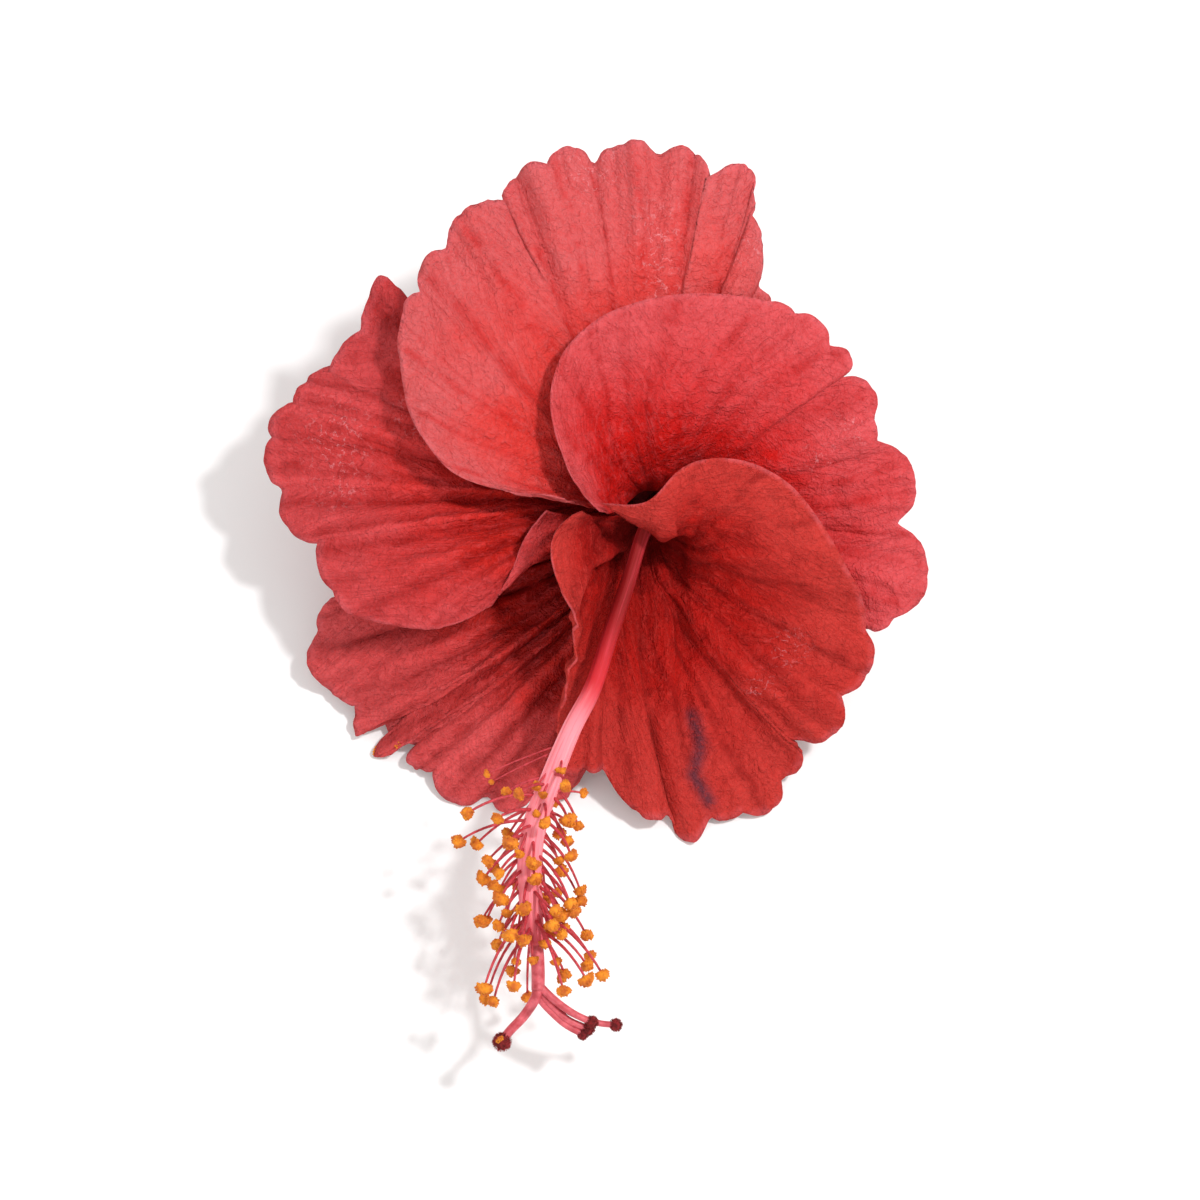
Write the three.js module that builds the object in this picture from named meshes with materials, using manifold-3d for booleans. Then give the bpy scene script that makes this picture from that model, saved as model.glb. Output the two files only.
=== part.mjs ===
// A hibiscus flower, picked with a short stalk and laid down face up.
// Units are millimetres and +Z is up. The flower is first drawn in the frame of its mouth: x to the
// right, y to the top petal, z out of the mouth. At the end it is tilted on to the points it lies on.
import * as THREE from 'three';
import { mergeVertices } from 'three/addons/utils/BufferGeometryUtils.js';
import Module from 'manifold-3d';

const wasm = await Module();
wasm.setup();

// ---- driving dimensions ----------------------------------------------------------------------------

const PETAL_THICKNESS = 0.64;
const PETAL_ROWS = 8;
const THROAT = new THREE.Vector3(0, 6, 0);         // the middle of the mouth
const CLAW_RING = new THREE.Vector3(1.5, 12, -30); // where the petals' claws stand, round the column
const CLAW_RADIUS = 2.2;                           // of the innermost petal's claw
const CLAW_STEP = 0.92;                            // from one petal's claw to the next one's, outwards
const WALL_HEIGHT = 16;                            // along the tube, where the petals are still steep
const WALL_RADIUS = 4.9;
const WALL_STEP = 1;
const SHOULDER_HEIGHT = 1.5;
const SHOULDER_FOLLOW = 0.6;                       // how far the shoulder rises with the rim
const SHOULDER_DROP = 1.6;                         // from one layer to the next
const SEAT_GAP = 0.3;                              // between pieces that touch

const COLUMN_SIDES = 12;
const COLUMN_STEPS = 26;
const STAMENS = 64;
const STAMEN_ZONE = [0.7, 0.985];                  // shares of the column's length
const STAMEN_TURN = 2.39996;                       // the golden angle, from one stamen to the next
const FILAMENT_LENGTH = [5.5, 12.5];
const FILAMENT_RADIUS = 0.26;
const ANTHER_SIZE = [1.35, 1.05, 0.95];            // half-lengths: across, along the filament, thick
const STYLE_RADIUS = 1.15;

const CALYX_FLOOR = -0.7;                          // heights along the tube from the claw ring
const CALYX_BOTTOM = -4.2;
const CALYX_NOTCH = 5.5;
const CALYX_TIP = 11.5;
const CALYX_WALL = 0.7;
const CALYX_SIDES = 30;
const SEPALS = 5;
const COLLAR_RADII = [2, 2.9, 3.2];                // of the ring that the bracteoles stand on
const COLLAR_HEIGHT = 2;
const BRACTEOLES = 7;
const BRACTEOLE_LENGTH = 11;
const BRACTEOLE_WIDTH = 1.8;
const BRACTEOLE_THICKNESS = 0.7;
const STALK_RADIUS = 1.35;
const STALK_TURN = 126 * Math.PI / 180;            // the way the stalk bends, round the tube

// The way that points up, in the frame of the mouth, when the flower lies on its stalk and on the tips
// of its front and its lower petal.
const REST_UP = new THREE.Vector3(0.02613, 0.41239, 0.91063).normalize();

// ---- frame of the corolla's tube -------------------------------------------------------------------

const tubeAxis = THROAT.clone().sub(CLAW_RING).normalize();
const tubeSide = new THREE.Vector3(1, 0, 0).addScaledVector(tubeAxis, -tubeAxis.x).normalize();
const tubeFront = tubeAxis.clone().cross(tubeSide);

function tubePoint(radius, angle, height) {
  return CLAW_RING.clone()
    .addScaledVector(tubeAxis, height)
    .addScaledVector(tubeSide, radius * Math.cos(angle))
    .addScaledVector(tubeFront, radius * Math.sin(angle));
}

// ---- petals ----------------------------------------------------------------------------------------

// A petal's rim runs anticlockwise, seen into the mouth: x, y, z, and how far the stretch to the next
// point bulges outwards. root holds the angles round the tube between which its claw stands, and claw
// those between which it leaves the throat, at the shoulder's radius. pleats of the given depth run
// along it, and rise lifts its outer half. pinch draws it in to the column round an angle, over a
// width. Layer 0 lies over all the others.
const petals = {
  petal_front: {
    layer: 0, shoulder: 10.5, claw: [170, 322], root: [215, 330],
    colour: 0xb9312c, columns: 56, pleats: 9, depth: 1.0,
    rim: [
      [-12, 8.5, 4, 0], [-16.5, 6, 8, 0], [-18, 3, 10, 0], [-17, -1, 10.5, 0], [-14, -8.5, 9, 0],
      [-12.5, -15, 7.5, 0], [-14.5, -22, 5, 0], [-15.5, -29.5, 1, 0], [-14, -39.5, -6, 0],
      [-12, -36, -7, 1.4], [-7.5, -35.5, -8, 1.4], [-2, -44.5, -11.5, 1.2], [3.5, -45, -12.5, 5],
      [11, -45.5, -13.5, 1.2], [17, -45, -14.5, 3.2], [25, -40, -15, 3.2], [25.5, -32, -13, 4.5],
      [34.5, -23.5, -11, 2.8], [38.5, -12, -7, 0.8], [35.5, -2.5, -1.5, 0], [30, 6.5, 3, 0],
      [24.5, 13.5, 6, 0], [17, 17.5, 8, 0], [9, 18, 9, 0], [4, 16, 8.5, 0], [1.5, 11.5, 7.5, 0],
      [-0.5, 9, 6.5, 0], [-5, 10, 6, 0], [-8.5, 10, 6, 0],
    ],
  },
  petal_right: {
    layer: 1, shoulder: 6.5, claw: [-35, 165], root: [-25, 130],
    colour: 0xd0322c, columns: 48, pleats: 8, depth: 0.9, pinch: [100, 55, 2.8],
    rim: [
      [21.5, -8.5, -10, 0], [32.5, -13, -12, 0.5], [39, -12, -10, 1.2], [43.5, -10, -10, 6],
      [44, 7, -7.5, 5], [40, 21.5, -5, 0.6], [39.5, 25, -4.5, 3.5], [33.5, 32.5, -3.5, 3],
      [31.5, 38, -3, 2.2], [25.5, 43.5, -1.5, 0.8], [21, 45.5, 0, 0], [12.5, 47, 1.5, 0],
      [2.5, 46.5, 2.5, 0], [-8, 43.5, 3, 0], [-15.5, 37, 3.5, 0], [-18, 28.5, 4, 0], [-16, 19, 4.5, 0],
      [-12, 11.5, 5, 0], [-9, 8.5, 4.5, 0],
    ],
  },
  petal_top: {
    layer: 2, shoulder: 9, claw: [62, 166], root: [50, 160],
    colour: 0xe25857, columns: 48, pleats: 8, depth: 0.9, rise: 3.6,
    rim: [
      [19, 38, -8, 0], [22, 41, -6, 1.2], [19, 48.5, -3, 1.5], [17.5, 61.5, -3.5, 7],
      [9.5, 67, -4.5, 4.2], [1.5, 72.5, -5.5, 2.6], [-9.5, 70.5, -5.5, 3.3], [-18, 69.5, -5, 3.5],
      [-24, 63, -4, 3.8], [-36, 55, -2, 2.2], [-40, 47, 0, 1], [-43, 44, 0, 0.4], [-44, 37, 0, 0],
      [-42.5, 25.5, 0.5, 0], [-35, 15, 1.5, 0], [-24.5, 12, 2, 0], [-15, 11, 2, 0],
    ],
  },
  petal_left: {
    layer: 3, shoulder: 12, claw: [128, 176], root: [125, 195],
    colour: 0xc33d3c, columns: 48, pleats: 9, depth: 1.2, rise: 5,
    rim: [
      [-31, 33, -8, 0], [-42.5, 45.5, -8, 0.3], [-48, 51.5, -9, 0.8],
      [-51.5, 41.5, -10, 1.5], [-56.5, 33, -11.5, 2.4], [-63.5, 28.5, -12.5, 2.2], [-67, 22.5, -13, 2.8],
      [-66, 13, -12.5, 3.2], [-58, 4.5, -10, 2], [-56, -5, -6.5, 0.6], [-52.5, -9.5, -4, 0],
      [-44.5, -11.5, -4, 0], [-36.5, -12, -3.5, 0], [-28.5, -8.5, -2.5, 0], [-24, -2, -1.5, 0],
      [-22.5, 4.5, -1, 0], [-18, 9, -1, 0],
    ],
  },
  petal_lower: {
    layer: 4, shoulder: 14, claw: [190, 295], root: [190, 290],
    colour: 0xa8322d, columns: 48, pleats: 10, depth: 1.6, rise: 5,
    rim: [
      [-28.5, 0.5, -10, 0], [-43, -4, -14, 0], [-55.5, -5.5, -17.5, 1.6], [-60.5, -12.5, -20, 4.5],
      [-53, -25.5, -18.5, 0.5], [-53.5, -32, -18, 0], [-48.5, -30, -16.5, 0.5], [-50.5, -35.5, -17, 1],
      [-42.5, -32.5, -15.5, 3.5], [-38.5, -37, -15, 4], [-29, -42.5, -14.5, 3], [-21.5, -41, -14, 2],
      [-13, -41, -15, 0], [-6.5, -31, -16, 0], [-3, -19, -15, 0],
    ],
  },
};

const degrees = Math.PI / 180;
const BULGE_LENGTH = 1.5;      // what each millimetre of bulge adds to a stretch
const LOBE_STEPS = 3;          // the fewest steps round a lobe that bulges over a millimetre

// Points along the rim, each with its share of the rim's length. Bulging stretches are parabolas.
function rimPoints(rim, columns) {
  const lengths = rim.slice(1).map((next, i) => {
    const chord = Math.hypot(next[0] - rim[i][0], next[1] - rim[i][1], next[2] - rim[i][2]);
    return chord + BULGE_LENGTH * rim[i][3];
  });
  const total = lengths.reduce((sum, length) => sum + length, 0);
  const points = [];
  let run = 0;
  lengths.forEach((length, i) => {
    const [a, b] = [rim[i], rim[i + 1]];
    const least = a[3] > 1 ? LOBE_STEPS : 1;
    const steps = Math.max(least, Math.round(columns * length / total));
    const chord = Math.hypot(b[0] - a[0], b[1] - a[1]);
    for (let step = 0; step < steps; step += 1) {
      const u = step / steps;
      const bulge = 4 * a[3] * u * (1 - u) / chord;
      points.push({
        share: (run + u * length) / total,
        place: new THREE.Vector3(
          a[0] + (b[0] - a[0]) * u + (b[1] - a[1]) * bulge,
          a[1] + (b[1] - a[1]) * u - (b[0] - a[0]) * bulge,
          a[2] + (b[2] - a[2]) * u,
        ),
      });
    }
    run += length;
  });
  points.push({ share: 1, place: new THREE.Vector3(...rim.at(-1).slice(0, 3)) });
  return points;
}

// One line of the petal, from its claw in the tube over the throat's shoulder to the rim.
function petalLine(petal, share, end) {
  const root = (petal.root[0] + (petal.root[1] - petal.root[0]) * share) * degrees;
  const leave = (petal.claw[0] + (petal.claw[1] - petal.claw[0]) * share) * degrees;
  const [angle, width, most] = petal.pinch ?? [0, 1, 0];
  const pinch = most * Math.exp(-(((leave / degrees - angle) / width) ** 2));
  return new THREE.CubicBezierCurve3(
    tubePoint(CLAW_RADIUS + petal.layer * CLAW_STEP, root, 0),
    tubePoint(WALL_RADIUS + petal.layer * WALL_STEP - pinch, (root + leave) / 2, WALL_HEIGHT),
    new THREE.Vector3(
      THROAT.x + (petal.shoulder - pinch) * Math.cos(leave),
      THROAT.y + (petal.shoulder - pinch) * Math.sin(leave),
      SHOULDER_HEIGHT - petal.layer * SHOULDER_DROP + SHOULDER_FOLLOW * end.z,
    ),
    end,
  );
}

// The pleats fade out at the claw and at the rim. The rise is highest in the outer half's middle.
const pleatFade = (t) => 3 * t * t * (1 - t);
const riseFade = (t, share) => 12.2 * t ** 4 * (1 - t) * Math.sin(Math.PI * share);

function petalSheet(petal) {
  return rimPoints(petal.rim, petal.columns).map(({ share, place }) => {
    const line = petalLine(petal, share, place);
    const points = [];
    for (let row = 0; row <= PETAL_ROWS; row += 1) {
      const t = row / PETAL_ROWS;
      const point = line.getPoint(t);
      const pleat = petal.depth * Math.sin(2 * Math.PI * petal.pleats * share);
      point.z += pleat * pleatFade(t) + (petal.rise ?? 0) * riseFade(t, share);
      points.push(point);
    }
    return points;
  });
}

// ---- closed meshes ---------------------------------------------------------------------------------

function meshGeometry(points, triangles) {
  const geometry = new THREE.BufferGeometry();
  const places = points.flatMap((p) => p.toArray());
  geometry.setAttribute('position', new THREE.Float32BufferAttribute(places, 3));
  geometry.setIndex(triangles.flat());
  return geometry;
}

// A sheet of points, given as columns, thickened both ways into a closed blade with one face split
// into the same triangles as the other.
function thickenSheet(columns, thickness) {
  const [wide, high] = [columns.length, columns[0].length];
  const at = (i, j) => columns[Math.min(Math.max(i, 0), wide - 1)][Math.min(Math.max(j, 0), high - 1)];
  const points = [[], []];
  for (let i = 0; i < wide; i += 1) {
    for (let j = 0; j < high; j += 1) {
      const across = at(i + 1, j).clone().sub(at(i - 1, j));
      const along = at(i, j + 1).clone().sub(at(i, j - 1));
      const normal = across.cross(along).normalize();
      points[0].push(at(i, j).clone().addScaledVector(normal, -thickness / 2));
      points[1].push(at(i, j).clone().addScaledVector(normal, thickness / 2));
    }
  }
  const back = wide * high;
  const id = (i, j) => i * high + j;
  const triangles = [];
  for (let i = 0; i < wide - 1; i += 1) {
    for (let j = 0; j < high - 1; j += 1) {
      const [a, b, c, d] = [id(i, j), id(i + 1, j), id(i + 1, j + 1), id(i, j + 1)];
      triangles.push([back + a, back + b, back + c], [back + a, back + c, back + d]);
      triangles.push([c, b, a], [d, c, a]);
    }
  }
  const edge = [];
  for (let i = 0; i < wide - 1; i += 1) edge.push(id(i, 0));
  for (let j = 0; j < high - 1; j += 1) edge.push(id(wide - 1, j));
  for (let i = wide - 1; i > 0; i -= 1) edge.push(id(i, high - 1));
  for (let j = high - 1; j > 0; j -= 1) edge.push(id(0, j));
  edge.forEach((a, k) => {
    const b = edge[(k + 1) % edge.length];
    triangles.push([a, b, back + b], [a, back + b, back + a]);
  });
  return meshGeometry([...points[0], ...points[1]], triangles);
}

// Rings of points, one after another, joined into a closed body with a flat fan on each end.
function joinRings(rings) {
  const sides = rings[0].length;
  const triangles = [];
  for (let k = 0; k < rings.length - 1; k += 1) {
    for (let i = 0; i < sides; i += 1) {
      const [a, b] = [k * sides + i, k * sides + (i + 1) % sides];
      triangles.push([a, b, b + sides], [a, b + sides, a + sides]);
    }
  }
  const middle = (ring) => ring.reduce((sum, p) => sum.add(p), new THREE.Vector3()).divideScalar(sides);
  const [first, last] = [rings.length * sides, rings.length * sides + 1];
  for (let i = 0; i < sides; i += 1) {
    const next = (i + 1) % sides;
    triangles.push([first, next, i]);
    triangles.push([last, (rings.length - 1) * sides + i, (rings.length - 1) * sides + next]);
  }
  return meshGeometry([...rings.flat(), middle(rings[0]), middle(rings.at(-1))], triangles);
}

// A round tube along a curve. radius(t) gives its radius at each share of the way.
function sweepTube(curve, steps, sides, radius) {
  const frames = curve.computeFrenetFrames(steps);
  const rings = [];
  for (let k = 0; k <= steps; k += 1) {
    const t = k / steps;
    const centre = curve.getPointAt(t);
    const ring = [];
    for (let i = 0; i < sides; i += 1) {
      const angle = 2 * Math.PI * i / sides;
      ring.push(centre.clone()
        .addScaledVector(frames.normals[k], radius(t) * Math.cos(angle))
        .addScaledVector(frames.binormals[k], radius(t) * Math.sin(angle)));
    }
    rings.push(ring);
  }
  return joinRings(rings);
}

function toSolid(geometry) {
  const bare = geometry.clone();
  bare.deleteAttribute('normal');
  bare.deleteAttribute('uv');
  const merged = mergeVertices(bare, 1e-4);
  return new wasm.Manifold(new wasm.Mesh({
    numProp: 3,
    vertProperties: new Float32Array(merged.attributes.position.array),
    triVerts: new Uint32Array(merged.index.array),
  }));
}

function toGeometry(solid) {
  const mesh = solid.getMesh();
  const geometry = new THREE.BufferGeometry();
  geometry.setAttribute('position', new THREE.BufferAttribute(new Float32Array(mesh.vertProperties), 3));
  geometry.setIndex(new THREE.BufferAttribute(new Uint32Array(mesh.triVerts), 1));
  return geometry;
}

// ---- staminal column -------------------------------------------------------------------------------

const columnCurve = new THREE.CatmullRomCurve3([
  tubePoint(0, 0, CALYX_FLOOR + SEAT_GAP),
  tubePoint(0, 0, 12),
  tubePoint(0, 0, 23),
  new THREE.Vector3(-1.2, 4.8, -3),
  new THREE.Vector3(-4, -4.2, -1.5),
  new THREE.Vector3(-7.1, -13.3, 1.5),
  new THREE.Vector3(-10, -22, 5),
  new THREE.Vector3(-13.5, -28.6, 8.5),
  new THREE.Vector3(-17, -37, 12.5),
  new THREE.Vector3(-19.8, -45, 16),
  new THREE.Vector3(-20.5, -51, 17.5),
  new THREE.Vector3(-20.2, -56.8, 19),
  new THREE.Vector3(-19.3, -64.1, 20.5),
]);

const columnRadii = [
  [0, 1.3], [0.31, 1.25], [0.42, 1.4], [0.5, 1.42], [0.63, 1.6], [0.72, 1.8], [0.8, 2.05],
  [0.89, 2.1], [0.92, 2], [0.965, 1.65], [1, 1.25],
];

function columnRadius(t) {
  const next = Math.max(1, columnRadii.findIndex(([share]) => share >= t));
  const [[t0, r0], [t1, r1]] = [columnRadii[next - 1], columnRadii[next]];
  return r0 + (r1 - r0) * (t - t0) / (t1 - t0);
}

// A seeded random generator, so that the stamens are the same each time.
function seeded(seed) {
  let state = seed;
  return () => {
    state = (state * 1664525 + 1013904223) % 4294967296;
    return state / 4294967296;
  };
}

// One stamen: a thin filament that leaves the column, bends towards its tip and bears an anther.
function stamenParts(index, random) {
  const order = (index + 0.5) / STAMENS;
  const share = STAMEN_ZONE[0] + (STAMEN_ZONE[1] - STAMEN_ZONE[0]) * order ** 0.72;
  const root = columnCurve.getPointAt(share);
  const forward = columnCurve.getTangentAt(share);
  const side = new THREE.Vector3(1, 0, 0).cross(forward).normalize();
  const outward = side.applyAxisAngle(forward, index * STAMEN_TURN + 0.5 * random());
  const length = FILAMENT_LENGTH[0] + (FILAMENT_LENGTH[1] - FILAMENT_LENGTH[0]) * random();
  const lean = 0.35 + 0.5 * order + 0.3 * random();
  const away = (out, along) => root.clone().addScaledVector(outward, out).addScaledVector(forward, along);
  const curve = new THREE.QuadraticBezierCurve3(
    away(columnRadius(share) * 0.3, 0),
    away(length * 0.6, length * lean * 0.25),
    away(length * 0.93, length * lean),
  );
  const filament = sweepTube(curve, 3, 3, (t) => FILAMENT_RADIUS * (1.25 - 0.35 * t));
  const anther = new THREE.IcosahedronGeometry(1, 0);
  const up = new THREE.Vector3(0, 1, 0);
  anther.scale(...ANTHER_SIZE);
  anther.rotateY(2 * Math.PI * random());
  anther.applyQuaternion(new THREE.Quaternion().setFromUnitVectors(up, curve.getTangentAt(1)));
  anther.translate(...curve.getPointAt(1).toArray());
  return [filament, anther];
}

function columnGeometry() {
  const random = seeded(11);
  let solid = toSolid(sweepTube(columnCurve, COLUMN_STEPS, COLUMN_SIDES, columnRadius));
  for (let index = 0; index < STAMENS; index += 1) {
    for (const piece of stamenParts(index, random)) solid = solid.add(toSolid(piece));
  }
  return toGeometry(solid);
}

// ---- style and stigmas -----------------------------------------------------------------------------

const styleStem = [[-19.1, -66.3, 20.9], [-19, -68.5, 21.4], [-19, -71.2, 21.9]];
const styleBranches = [
  {
    radius: 0.8, stigma: 1.6,
    path: [
      [-19, -70.4, 21.8], [-19.4, -72.4, 22], [-21.3, -75.3, 22.6],
      [-23.8, -77.9, 23.2], [-24.9, -79.4, 23.6],
    ],
  },
  {
    radius: 0.62, stigma: 1.15,
    path: [
      [-18.9, -70.2, 21.9], [-18, -71.2, 21.9], [-16, -73.1, 21.6],
      [-13.1, -75.2, 21.2], [-10.1, -76.7, 20.8],
    ],
  },
  {
    radius: 0.62, stigma: 1.15,
    path: [
      [-19, -70.4, 21.6], [-18.4, -71.9, 21.2], [-16.5, -74.2, 20.7],
      [-14.1, -76.4, 20.2], [-10.7, -78, 19.7],
    ],
  },
  {
    radius: 0.6, stigma: 1,
    path: [
      [-19, -70.6, 21.5], [-18.7, -72.7, 21], [-16.5, -75.4, 20.4],
      [-14.4, -77.3, 20], [-11.6, -78.9, 19.8],
    ],
  },
  {
    radius: 0.55, stigma: 1.15,
    path: [
      [-18.9, -70.2, 21.5], [-18, -71.6, 20.8], [-15.7, -73.9, 20.2], [-12.4, -75.9, 19.6],
      [-8.8, -77.2, 19], [-6.1, -77.5, 18.8],
    ],
  },
];

function curveThrough(path) {
  return new THREE.CatmullRomCurve3(path.map((place) => new THREE.Vector3(...place)));
}

function stemCurve() {
  const start = columnCurve.getPointAt(1).addScaledVector(columnCurve.getTangentAt(1), SEAT_GAP);
  return curveThrough([start.toArray(), ...styleStem]);
}

function styleGeometry() {
  let solid = toSolid(sweepTube(stemCurve(), 5, 8, () => STYLE_RADIUS));
  for (const { path, radius, stigma } of styleBranches) {
    const curve = curveThrough(path);
    const head = new THREE.IcosahedronGeometry(stigma, 1);
    head.translate(...curve.getPointAt(1).toArray());
    solid = solid.add(toSolid(sweepTube(curve, 5, 5, () => radius))).add(toSolid(head));
  }
  return toGeometry(solid);
}

// ---- calyx, epicalyx and stalk ---------------------------------------------------------------------

// The calyx hugs the claws and opens with them.
function calyxInside(height) {
  const up = Math.max(height, 0);
  return 6.85 + 0.05 * up + 0.042 * up * up;
}

const calyxOutside = (height) => calyxInside(height) + CALYX_WALL;

// A ring round the calyx. Its height is a share of the way to the lobed edge, which height(top) gives.
function calyxRing(radius, height) {
  return Array.from({ length: CALYX_SIDES }, (_, i) => {
    const angle = 2 * Math.PI * i / CALYX_SIDES;
    const lobe = Math.abs(Math.cos(SEPALS * angle / 2)) ** 1.2;
    const level = height(CALYX_NOTCH + (CALYX_TIP - CALYX_NOTCH) * lobe);
    return tubePoint(radius(level), angle, level);
  });
}

function calyxGeometry() {
  const rings = [0, 0.3, 0.6, 0.85].map((share) => {
    const turn = share * Math.PI / 2;
    const radius = STALK_RADIUS + (calyxOutside(0) - STALK_RADIUS) * Math.sin(turn);
    return calyxRing(() => radius, () => CALYX_BOTTOM * Math.cos(turn));
  });
  for (const share of [0, 0.25, 0.5, 0.75, 1]) rings.push(calyxRing(calyxOutside, (top) => top * share));
  for (const share of [1, 0.75, 0.5, 0.25, 0]) {
    rings.push(calyxRing(calyxInside, (top) => CALYX_FLOOR + (top - CALYX_FLOOR) * share));
  }
  return joinRings(rings);
}

function bracteoleSheet(angle) {
  const columns = [];
  for (const side of [-1, 0, 1]) {
    const column = [];
    for (let j = 0; j <= 4; j += 1) {
      const t = j / 4;
      const half = BRACTEOLE_WIDTH / 2 * (1 - 0.8 * t ** 3) * side;
      const radius = COLLAR_RADII[1] - 0.3 + BRACTEOLE_LENGTH * 0.78 * t;
      const rise = BRACTEOLE_LENGTH * (0.15 * t + 0.5 * t * t) + 0.25 * Math.abs(side);
      column.push(tubePoint(radius, angle + half / radius, CALYX_BOTTOM - COLLAR_HEIGHT * 0.7 + rise));
    }
    columns.push(column);
  }
  return columns;
}

function epicalyxGeometry() {
  const top = CALYX_BOTTOM - SEAT_GAP;
  const [inner, outer, widest] = COLLAR_RADII;
  const profile = [
    [inner, top - COLLAR_HEIGHT], [outer, top - COLLAR_HEIGHT], [widest, top - COLLAR_HEIGHT / 2],
    [outer, top], [inner, top], [inner, top - COLLAR_HEIGHT],
  ];
  const collar = new THREE.LatheGeometry(profile.map((place) => new THREE.Vector2(...place)), 16);
  collar.rotateX(Math.PI / 2);
  const turn = new THREE.Matrix4().makeBasis(tubeSide, tubeFront, tubeAxis).setPosition(CLAW_RING);
  let solid = toSolid(collar.applyMatrix4(turn));
  for (let index = 0; index < BRACTEOLES; index += 1) {
    const angle = 2 * Math.PI * (index + 0.25) / BRACTEOLES;
    solid = solid.add(toSolid(thickenSheet(bracteoleSheet(angle), BRACTEOLE_THICKNESS)));
  }
  return toGeometry(solid);
}

// The stalk bends over to lie along the surface. A small swelling marks its joint.
function stalkGeometry() {
  const bend = [[0, SEAT_GAP], [0.5, 3.5], [4, 8], [11.5, 12.5], [20, 17]];
  const curve = new THREE.CatmullRomCurve3(
    bend.map(([out, below]) => tubePoint(out, STALK_TURN, CALYX_BOTTOM - below)),
  );
  const joint = (t) => 0.45 * Math.exp(-(((t - 0.62) / 0.05) ** 2));
  return sweepTube(curve, 14, 10, (t) => STALK_RADIUS + joint(t) + 0.35 * Math.max(0, 1 - t / 0.2) ** 2);
}

// ---- assembly --------------------------------------------------------------------------------------

const flower = new THREE.Group();

function addNode(name, geometry, colour, roughness = 0.6) {
  const material = new THREE.MeshStandardMaterial({ color: colour, roughness, metalness: 0 });
  geometry.computeVertexNormals();
  const mesh = new THREE.Mesh(geometry, material);
  mesh.name = name;
  flower.add(mesh);
}

for (const [name, petal] of Object.entries(petals)) {
  addNode(name, thickenSheet(petalSheet(petal), PETAL_THICKNESS), petal.colour);
}
addNode('staminal_column', columnGeometry(), 0xd9606f);
addNode('style_and_stigmas', styleGeometry(), 0xb8404c);
addNode('calyx', calyxGeometry(), 0x7f9a45);
addNode('epicalyx', epicalyxGeometry(), 0x6f8c3a);
addNode('pedicel', stalkGeometry(), 0x7c8f45);

// The flower is laid down, with its lowest points at z = 0 and the origin below the middle of its box.
flower.quaternion.setFromUnitVectors(REST_UP, new THREE.Vector3(0, 0, 1));
const resting = new THREE.Group();
resting.add(flower);
resting.updateMatrixWorld(true);
const box = new THREE.Box3().setFromObject(resting, true);
const middle = box.getCenter(new THREE.Vector3());
flower.position.set(-middle.x, -middle.y, -box.min.z);

export default resting;
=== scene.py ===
"""A hibiscus flower, picked with a short stalk and laid down face up.

Fine petals with ruffles and veins, the staminal column with its stamens, the style with its stigmas,
the calyx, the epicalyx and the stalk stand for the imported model's nodes, in the same frame.
Sizes are in millimetres, in the frame of the flower's mouth: x to the right, y to the top petal and
z out of the mouth. lay() turns them into metres in the frame of the resting flower.
"""

import math
import random

import bpy
import numpy as np
from mathutils import Matrix, Vector, noise


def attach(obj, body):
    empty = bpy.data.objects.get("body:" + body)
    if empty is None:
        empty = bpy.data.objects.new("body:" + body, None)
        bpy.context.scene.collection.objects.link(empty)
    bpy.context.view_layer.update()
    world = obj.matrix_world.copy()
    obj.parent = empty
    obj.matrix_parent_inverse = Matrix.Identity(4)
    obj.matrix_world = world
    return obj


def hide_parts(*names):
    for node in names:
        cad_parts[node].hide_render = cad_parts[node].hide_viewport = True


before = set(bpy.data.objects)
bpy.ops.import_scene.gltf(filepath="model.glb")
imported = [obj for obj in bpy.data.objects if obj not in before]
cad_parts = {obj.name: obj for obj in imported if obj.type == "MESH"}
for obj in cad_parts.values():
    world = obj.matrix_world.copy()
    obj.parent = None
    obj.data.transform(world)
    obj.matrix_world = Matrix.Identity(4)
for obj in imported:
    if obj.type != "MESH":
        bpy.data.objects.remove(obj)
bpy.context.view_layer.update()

# ---- frames ----

MM = 0.001
REST_UP = Vector((0.02613, 0.41239, 0.91063)).normalized()
MOUTH = Vector((9.571, 6.793, 32.581))  # where the mouth's frame starts, in the resting frame
TO_REST = REST_UP.rotation_difference(Vector((0, 0, 1))).to_matrix()

THROAT = np.array((0.0, 6.0, 0.0))
CLAW_RING = np.array((1.5, 12.0, -30.0))


def lay(points):
    """Points of the mouth's frame, in millimetres, as points of the resting frame, in metres."""
    return (np.asarray(points) @ np.array(TO_REST).T + np.array(MOUTH)) * MM


def unit(vectors):
    return vectors / np.maximum(np.linalg.norm(vectors, axis=-1, keepdims=True), 1e-9)


TUBE_AXIS = unit(THROAT - CLAW_RING)
TUBE_SIDE = unit(np.array((1.0, 0.0, 0.0)) - TUBE_AXIS * TUBE_AXIS[0])
TUBE_FRONT = np.cross(TUBE_AXIS, TUBE_SIDE)


def tube_point(radius, angle, height):
    """A place in the corolla's tube: out from its axis, round it, and along it from the claws."""
    radius, angle, height = (np.asarray(value, float)[..., None] for value in (radius, angle, height))
    out = TUBE_SIDE * radius * np.cos(angle)
    return CLAW_RING + TUBE_AXIS * height + out + TUBE_FRONT * radius * np.sin(angle)


def smooth(value, low, high):
    """0 below low, 1 above high, and a smooth rise between them."""
    share = np.clip((value - low) / (high - low), 0, 1)
    return share * share * (3 - 2 * share)


# ---- shader maths ----


def operator(operation, swapped=False):
    """A method that adds a Math node for a value and another, or for the other and the value."""

    def method(self, other=0.0):
        return self.paint.math(operation, *((other, self) if swapped else (self, other)))

    return method


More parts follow.
